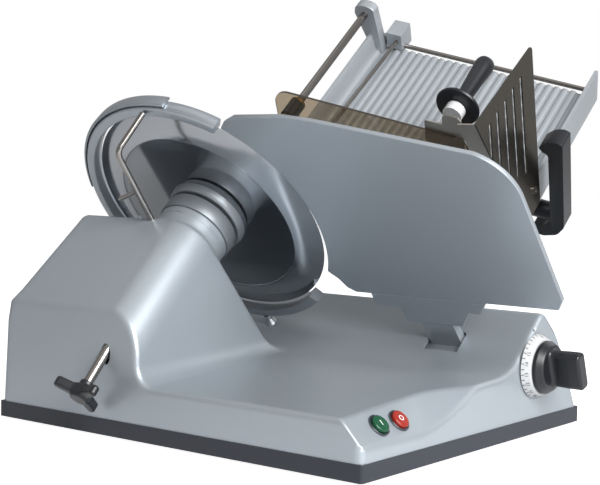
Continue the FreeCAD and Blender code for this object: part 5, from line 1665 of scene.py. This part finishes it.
@dataclass
class FoodHolder:
    """Product fence on the rear rod, and the clear plate that swings with its grip."""

    grip_p: float = 308.0
    grip_m: float = 188.0
    plate_s: float = 87.5
    plate_top: float = 159.0
    edge_shown: float = 0.4
    bracket_sheet: float = 2.0
    bracket: tuple[Pair, ...] = ((273, 142), (275, 140), (321, 140), (323, 142), (323, 168), (320, 172),
                                 (320, 184), (316, 188), (300, 188), (296, 184), (296, 172), (275, 172),
                                 (273, 170))
    post: float = 16.0
    disc: float = 27.0
    grip: float = 12.0
    length: float = 103.0

    def handle(self) -> None:
        """Turns the grip and the post that it stands on."""
        foot = ALONG_TABLE * self.grip_p + OFF_TABLE * self.grip_m + UP_SLOPE * self.plate_s
        up = basis(BLADE_CENTRE + foot * UNIT, -OFF_TABLE, -ALONG_TABLE, UP_SLOPE)
        r, g, p, end = self.disc, self.grip, self.post, self.length
        post = lathe("holder_grip_post", [(0, 2.0), (11.6, 2.0), (11.9, 2.6), (11.9, 14.0), (9.8, p), (0, p)],
                     WHITE_ABS, up, 64)
        keep(post, "holder", "white_dial")
        grip = lathe("holder_hand_grip", [
            (0, p), (r - 3.0, p), (r - 0.8, p + 0.8), (r, p + 2.4), (r - 0.5, p + 4.2), (r - 3.0, p + 5.6),
            (r - 9.0, p + 6.0), (11.0, p + 6.6), (9.6, p + 8.4), (9.1, p + 12.0), (9.3, p + 26.0),
            (10.2, p + 46.0), (11.3, p + 64.0), (g, end - 12.0), (g - 0.3, end - 7.0), (g - 1.6, end - 3.4),
            (g - 4.4, end - 0.9), (g - 8.0, end), (0, end)], BLACK_NYLON, up, 96)
        keep(grip, "holder", "black_plastic", "holder_grip")

    def make(self) -> None:
        """Builds the fence, the holder plate, its bracket and grip."""
        keep_shapes("fence", ("fence_block", "fence_slider", TABLE_SILVER, 2.2, "table_metal"),
                    ("fence_rod", "fence_bar", BRIGHT_ROD, 0.7, "bright_rod"))
        keep_shapes("holder_carrier", ("holder_bush", "holder_slide_bush", BRONZE, 0.4, "bronze_bush"))
        keep_shapes("holder", ("holder_sleeve", "holder_pivot_sleeve", BLACK_NYLON, 0.6, "black_plastic"))
        sheet = copied("holder_plate", "clear_holder_plate", TINTED_ACRYLIC, 0.35)
        repaint(sheet, TINTED_EDGE, TABLE, lambda centre: centre.z > self.plate_top - self.edge_shown)
        keep(sheet, "holder", "tinted_sheet", "holder_plate")
        lug = prism("holder_bracket_sheet", self.bracket, -self.plate_s - self.bracket_sheet, -self.plate_s,
                    BRUSHED_STEEL, ACROSS_TABLE)
        keep(soften(lug, 0.35), "holder", "bright_rod", "holder_bracket")
        self.handle()


class Inside:
    """Motor, belt and rails in the hollow base, seen only from below or through the slots."""

    def make(self) -> None:
        """Dresses each inner piece."""
        dress(MOTOR_PAINT, "motor")
        dress(MACHINED_STEEL, "motor_mount", "motor_shaft", "motor_pulley", "guide_rail", "rail_brackets")
        dress(RUBBER, "drive_belt")
        dress(BRIGHT_ROD, "carriage_rail")


# ---------------------------------------------------------------- studio
class Lamp(Enum):
    """Area lamp: its name, where it hangs, in metres, and its power in watts."""

    RIGHT = ("right_softbox", (2.2, -0.9, 1.5), 138.0)
    TOP = ("top_softbox", (-0.2, -0.6, 2.3), 4.0)
    REAR = ("rear_softbox", (0.3, 2.0, 1.6), 9.0)


@dataclass
class Studio:
    """Camera, floor, world and lamps. Its lengths are metres."""

    eye: Triple = (1.0939, -1.4189, 0.3369)
    yaw: float = 37.48
    pitch: float = 3.59
    roll: float = 1.20
    focal_px: float = 1436.3
    width_px: float = 600.0
    sensor: float = 36.0
    near: float = 0.05
    far: float = 60.0
    ambient: float = 0.07
    # Shares of the white surroundings and of the floor's glow that show in reflections.
    sky_mirrored: float = 0.38
    floor_mirrored: float = 0.25
    floor_glow: float = 0.95
    floor_colour: str = "#e6e7e9"
    white: str = "#ffffff"
    floor_half: float = 9.0
    lamp_target: Triple = (0.0, 0.0, 0.2)
    lamp_size: float = 1.6

    def camera(self) -> None:
        """Sets the camera."""
        yaw, pitch, roll = (math.radians(v) for v in (self.yaw, self.pitch, self.roll))
        right = Vector((math.cos(yaw), math.sin(yaw), 0.0))
        back = Vector((math.sin(yaw) * math.cos(pitch), -math.cos(yaw) * math.cos(pitch), math.sin(pitch)))
        up = back.cross(right)
        tilted = right * math.cos(roll) + up * math.sin(roll)
        upright = up * math.cos(roll) - right * math.sin(roll)
        data = bpy.data.cameras.new("camera")
        data.sensor_fit, data.sensor_width = "HORIZONTAL", self.sensor
        data.lens = self.focal_px / self.width_px * self.sensor
        data.clip_start, data.clip_end = self.near, self.far
        camera = bpy.data.objects.new("camera", data)
        turn = Matrix((tilted, upright, back)).transposed().to_4x4()
        camera.matrix_world = Matrix.Translation(self.eye) @ turn
        bpy.context.scene.collection.objects.link(camera)
        bpy.context.scene.camera = camera

    def seen(self, tree: NodeTree, mirrored: float) -> NodeSocket:
        """Tells what sees the white surroundings.

        Args:
            tree: the tree that gets the nodes.
            mirrored: the share for glossy rays.

        Returns:
            The socket of 1 for camera and transmission rays, that share for glossy rays and 0 for the rest.
        """
        path = add_node(tree, "ShaderNodeLightPath", {})
        glossy = add_node(tree, "ShaderNodeMath", {"operation": "MULTIPLY", 1: mirrored},
                          {0: path.outputs["Is Glossy Ray"]})
        first = add_node(tree, "ShaderNodeMath", {"operation": "MAXIMUM"},
                         {0: path.outputs["Is Camera Ray"], 1: glossy.outputs[0]})
        return add_node(tree, "ShaderNodeMath", {"operation": "MAXIMUM"},
                        {0: first.outputs[0], 1: path.outputs["Is Transmission Ray"]}).outputs[0]

    def world(self) -> None:
        """White surroundings that light the object at a plain level."""
        world = bpy.data.worlds.new("studio")
        bpy.context.scene.world = world
        world.use_nodes = True
        tree = world.node_tree
        tree.nodes.clear()
        level = add_node(tree, "ShaderNodeMapRange", {"To Min": self.ambient, "To Max": 1.0},
                         {"Value": self.seen(tree, self.sky_mirrored)})
        sky = add_node(tree, "ShaderNodeBackground", {"Color": linear(self.white)},
                       {"Strength": level.outputs[0]})
        add_node(tree, "ShaderNodeOutputWorld", {}, {"Surface": sky.outputs[0]})

    def floor(self) -> None:
        """Plain pale floor that reads white and keeps the object's shadow."""
        material = bpy.data.materials.new("pale_floor")
        material.use_nodes = True
        tree = material.node_tree
        tree.nodes.clear()
        matt = add_node(tree, "ShaderNodeBsdfDiffuse", {"Color": linear(self.floor_colour)})
        glow = add_node(tree, "ShaderNodeMath", {"operation": "MULTIPLY", 1: self.floor_glow},
                        {0: self.seen(tree, self.floor_mirrored)})
        white = add_node(tree, "ShaderNodeEmission", {"Color": linear(self.white)},
                         {"Strength": glow.outputs[0]})
        both = add_node(tree, "ShaderNodeAddShader", {}, {0: matt.outputs[0], 1: white.outputs[0]})
        add_node(tree, "ShaderNodeOutputMaterial", {}, {"Surface": both.outputs[0]})
        mesh = bpy.data.meshes.new("floor")
        h = self.floor_half
        mesh.from_pydata([(-h, -h, 0), (h, -h, 0), (h, h, 0), (-h, h, 0)], [], [(0, 1, 2, 3)])
        mesh.materials.append(material)
        piece = bpy.data.objects.new("floor", mesh)
        bpy.context.scene.collection.objects.link(piece)

    def lamp(self, name: str, place: Triple, watts: float) -> None:
        """Hangs one soft area lamp that faces the object.

        Args:
            name: the lamp's name.
            place: where it hangs, in metres.
            watts: its power.
        """
        data = bpy.data.lights.new(name, "AREA")
        data.shape, data.energy = "RECTANGLE", watts
        data.size, data.size_y = self.lamp_size, self.lamp_size
        lamp = bpy.data.objects.new(name, data)
        turn = (Vector(self.lamp_target) - Vector(place)).to_track_quat("-Z", "Y")
        lamp.matrix_world = Matrix.Translation(place) @ turn.to_matrix().to_4x4()
        bpy.context.scene.collection.objects.link(lamp)

    def make(self) -> None:
        """Sets up the studio."""
        self.camera()
        self.world()
        self.floor()
        for lamp in Lamp:
            self.lamp(*lamp.value)
        bpy.context.scene.view_settings.view_transform = "Standard"


def main() -> None:
    """Builds the slicer's looks in order."""
    logging.basicConfig(level=logging.INFO, format="%(message)s")
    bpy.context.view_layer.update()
    Studio().make()
    screws, ribs, ticks = screw_tree(), rib_tree(), tick_tree()
    Casting().make()
    Underside().make(screws)
    BladeUnit().make(screws)
    Guard().make()
    Dial().make(ticks)
    ClampKnob().make()
    Buttons().make()
    Gauge().make()
    Carriage().make(ribs, screws)
    FoodHolder().make()
    Inside().make()


if __name__ == "__main__":
    main()
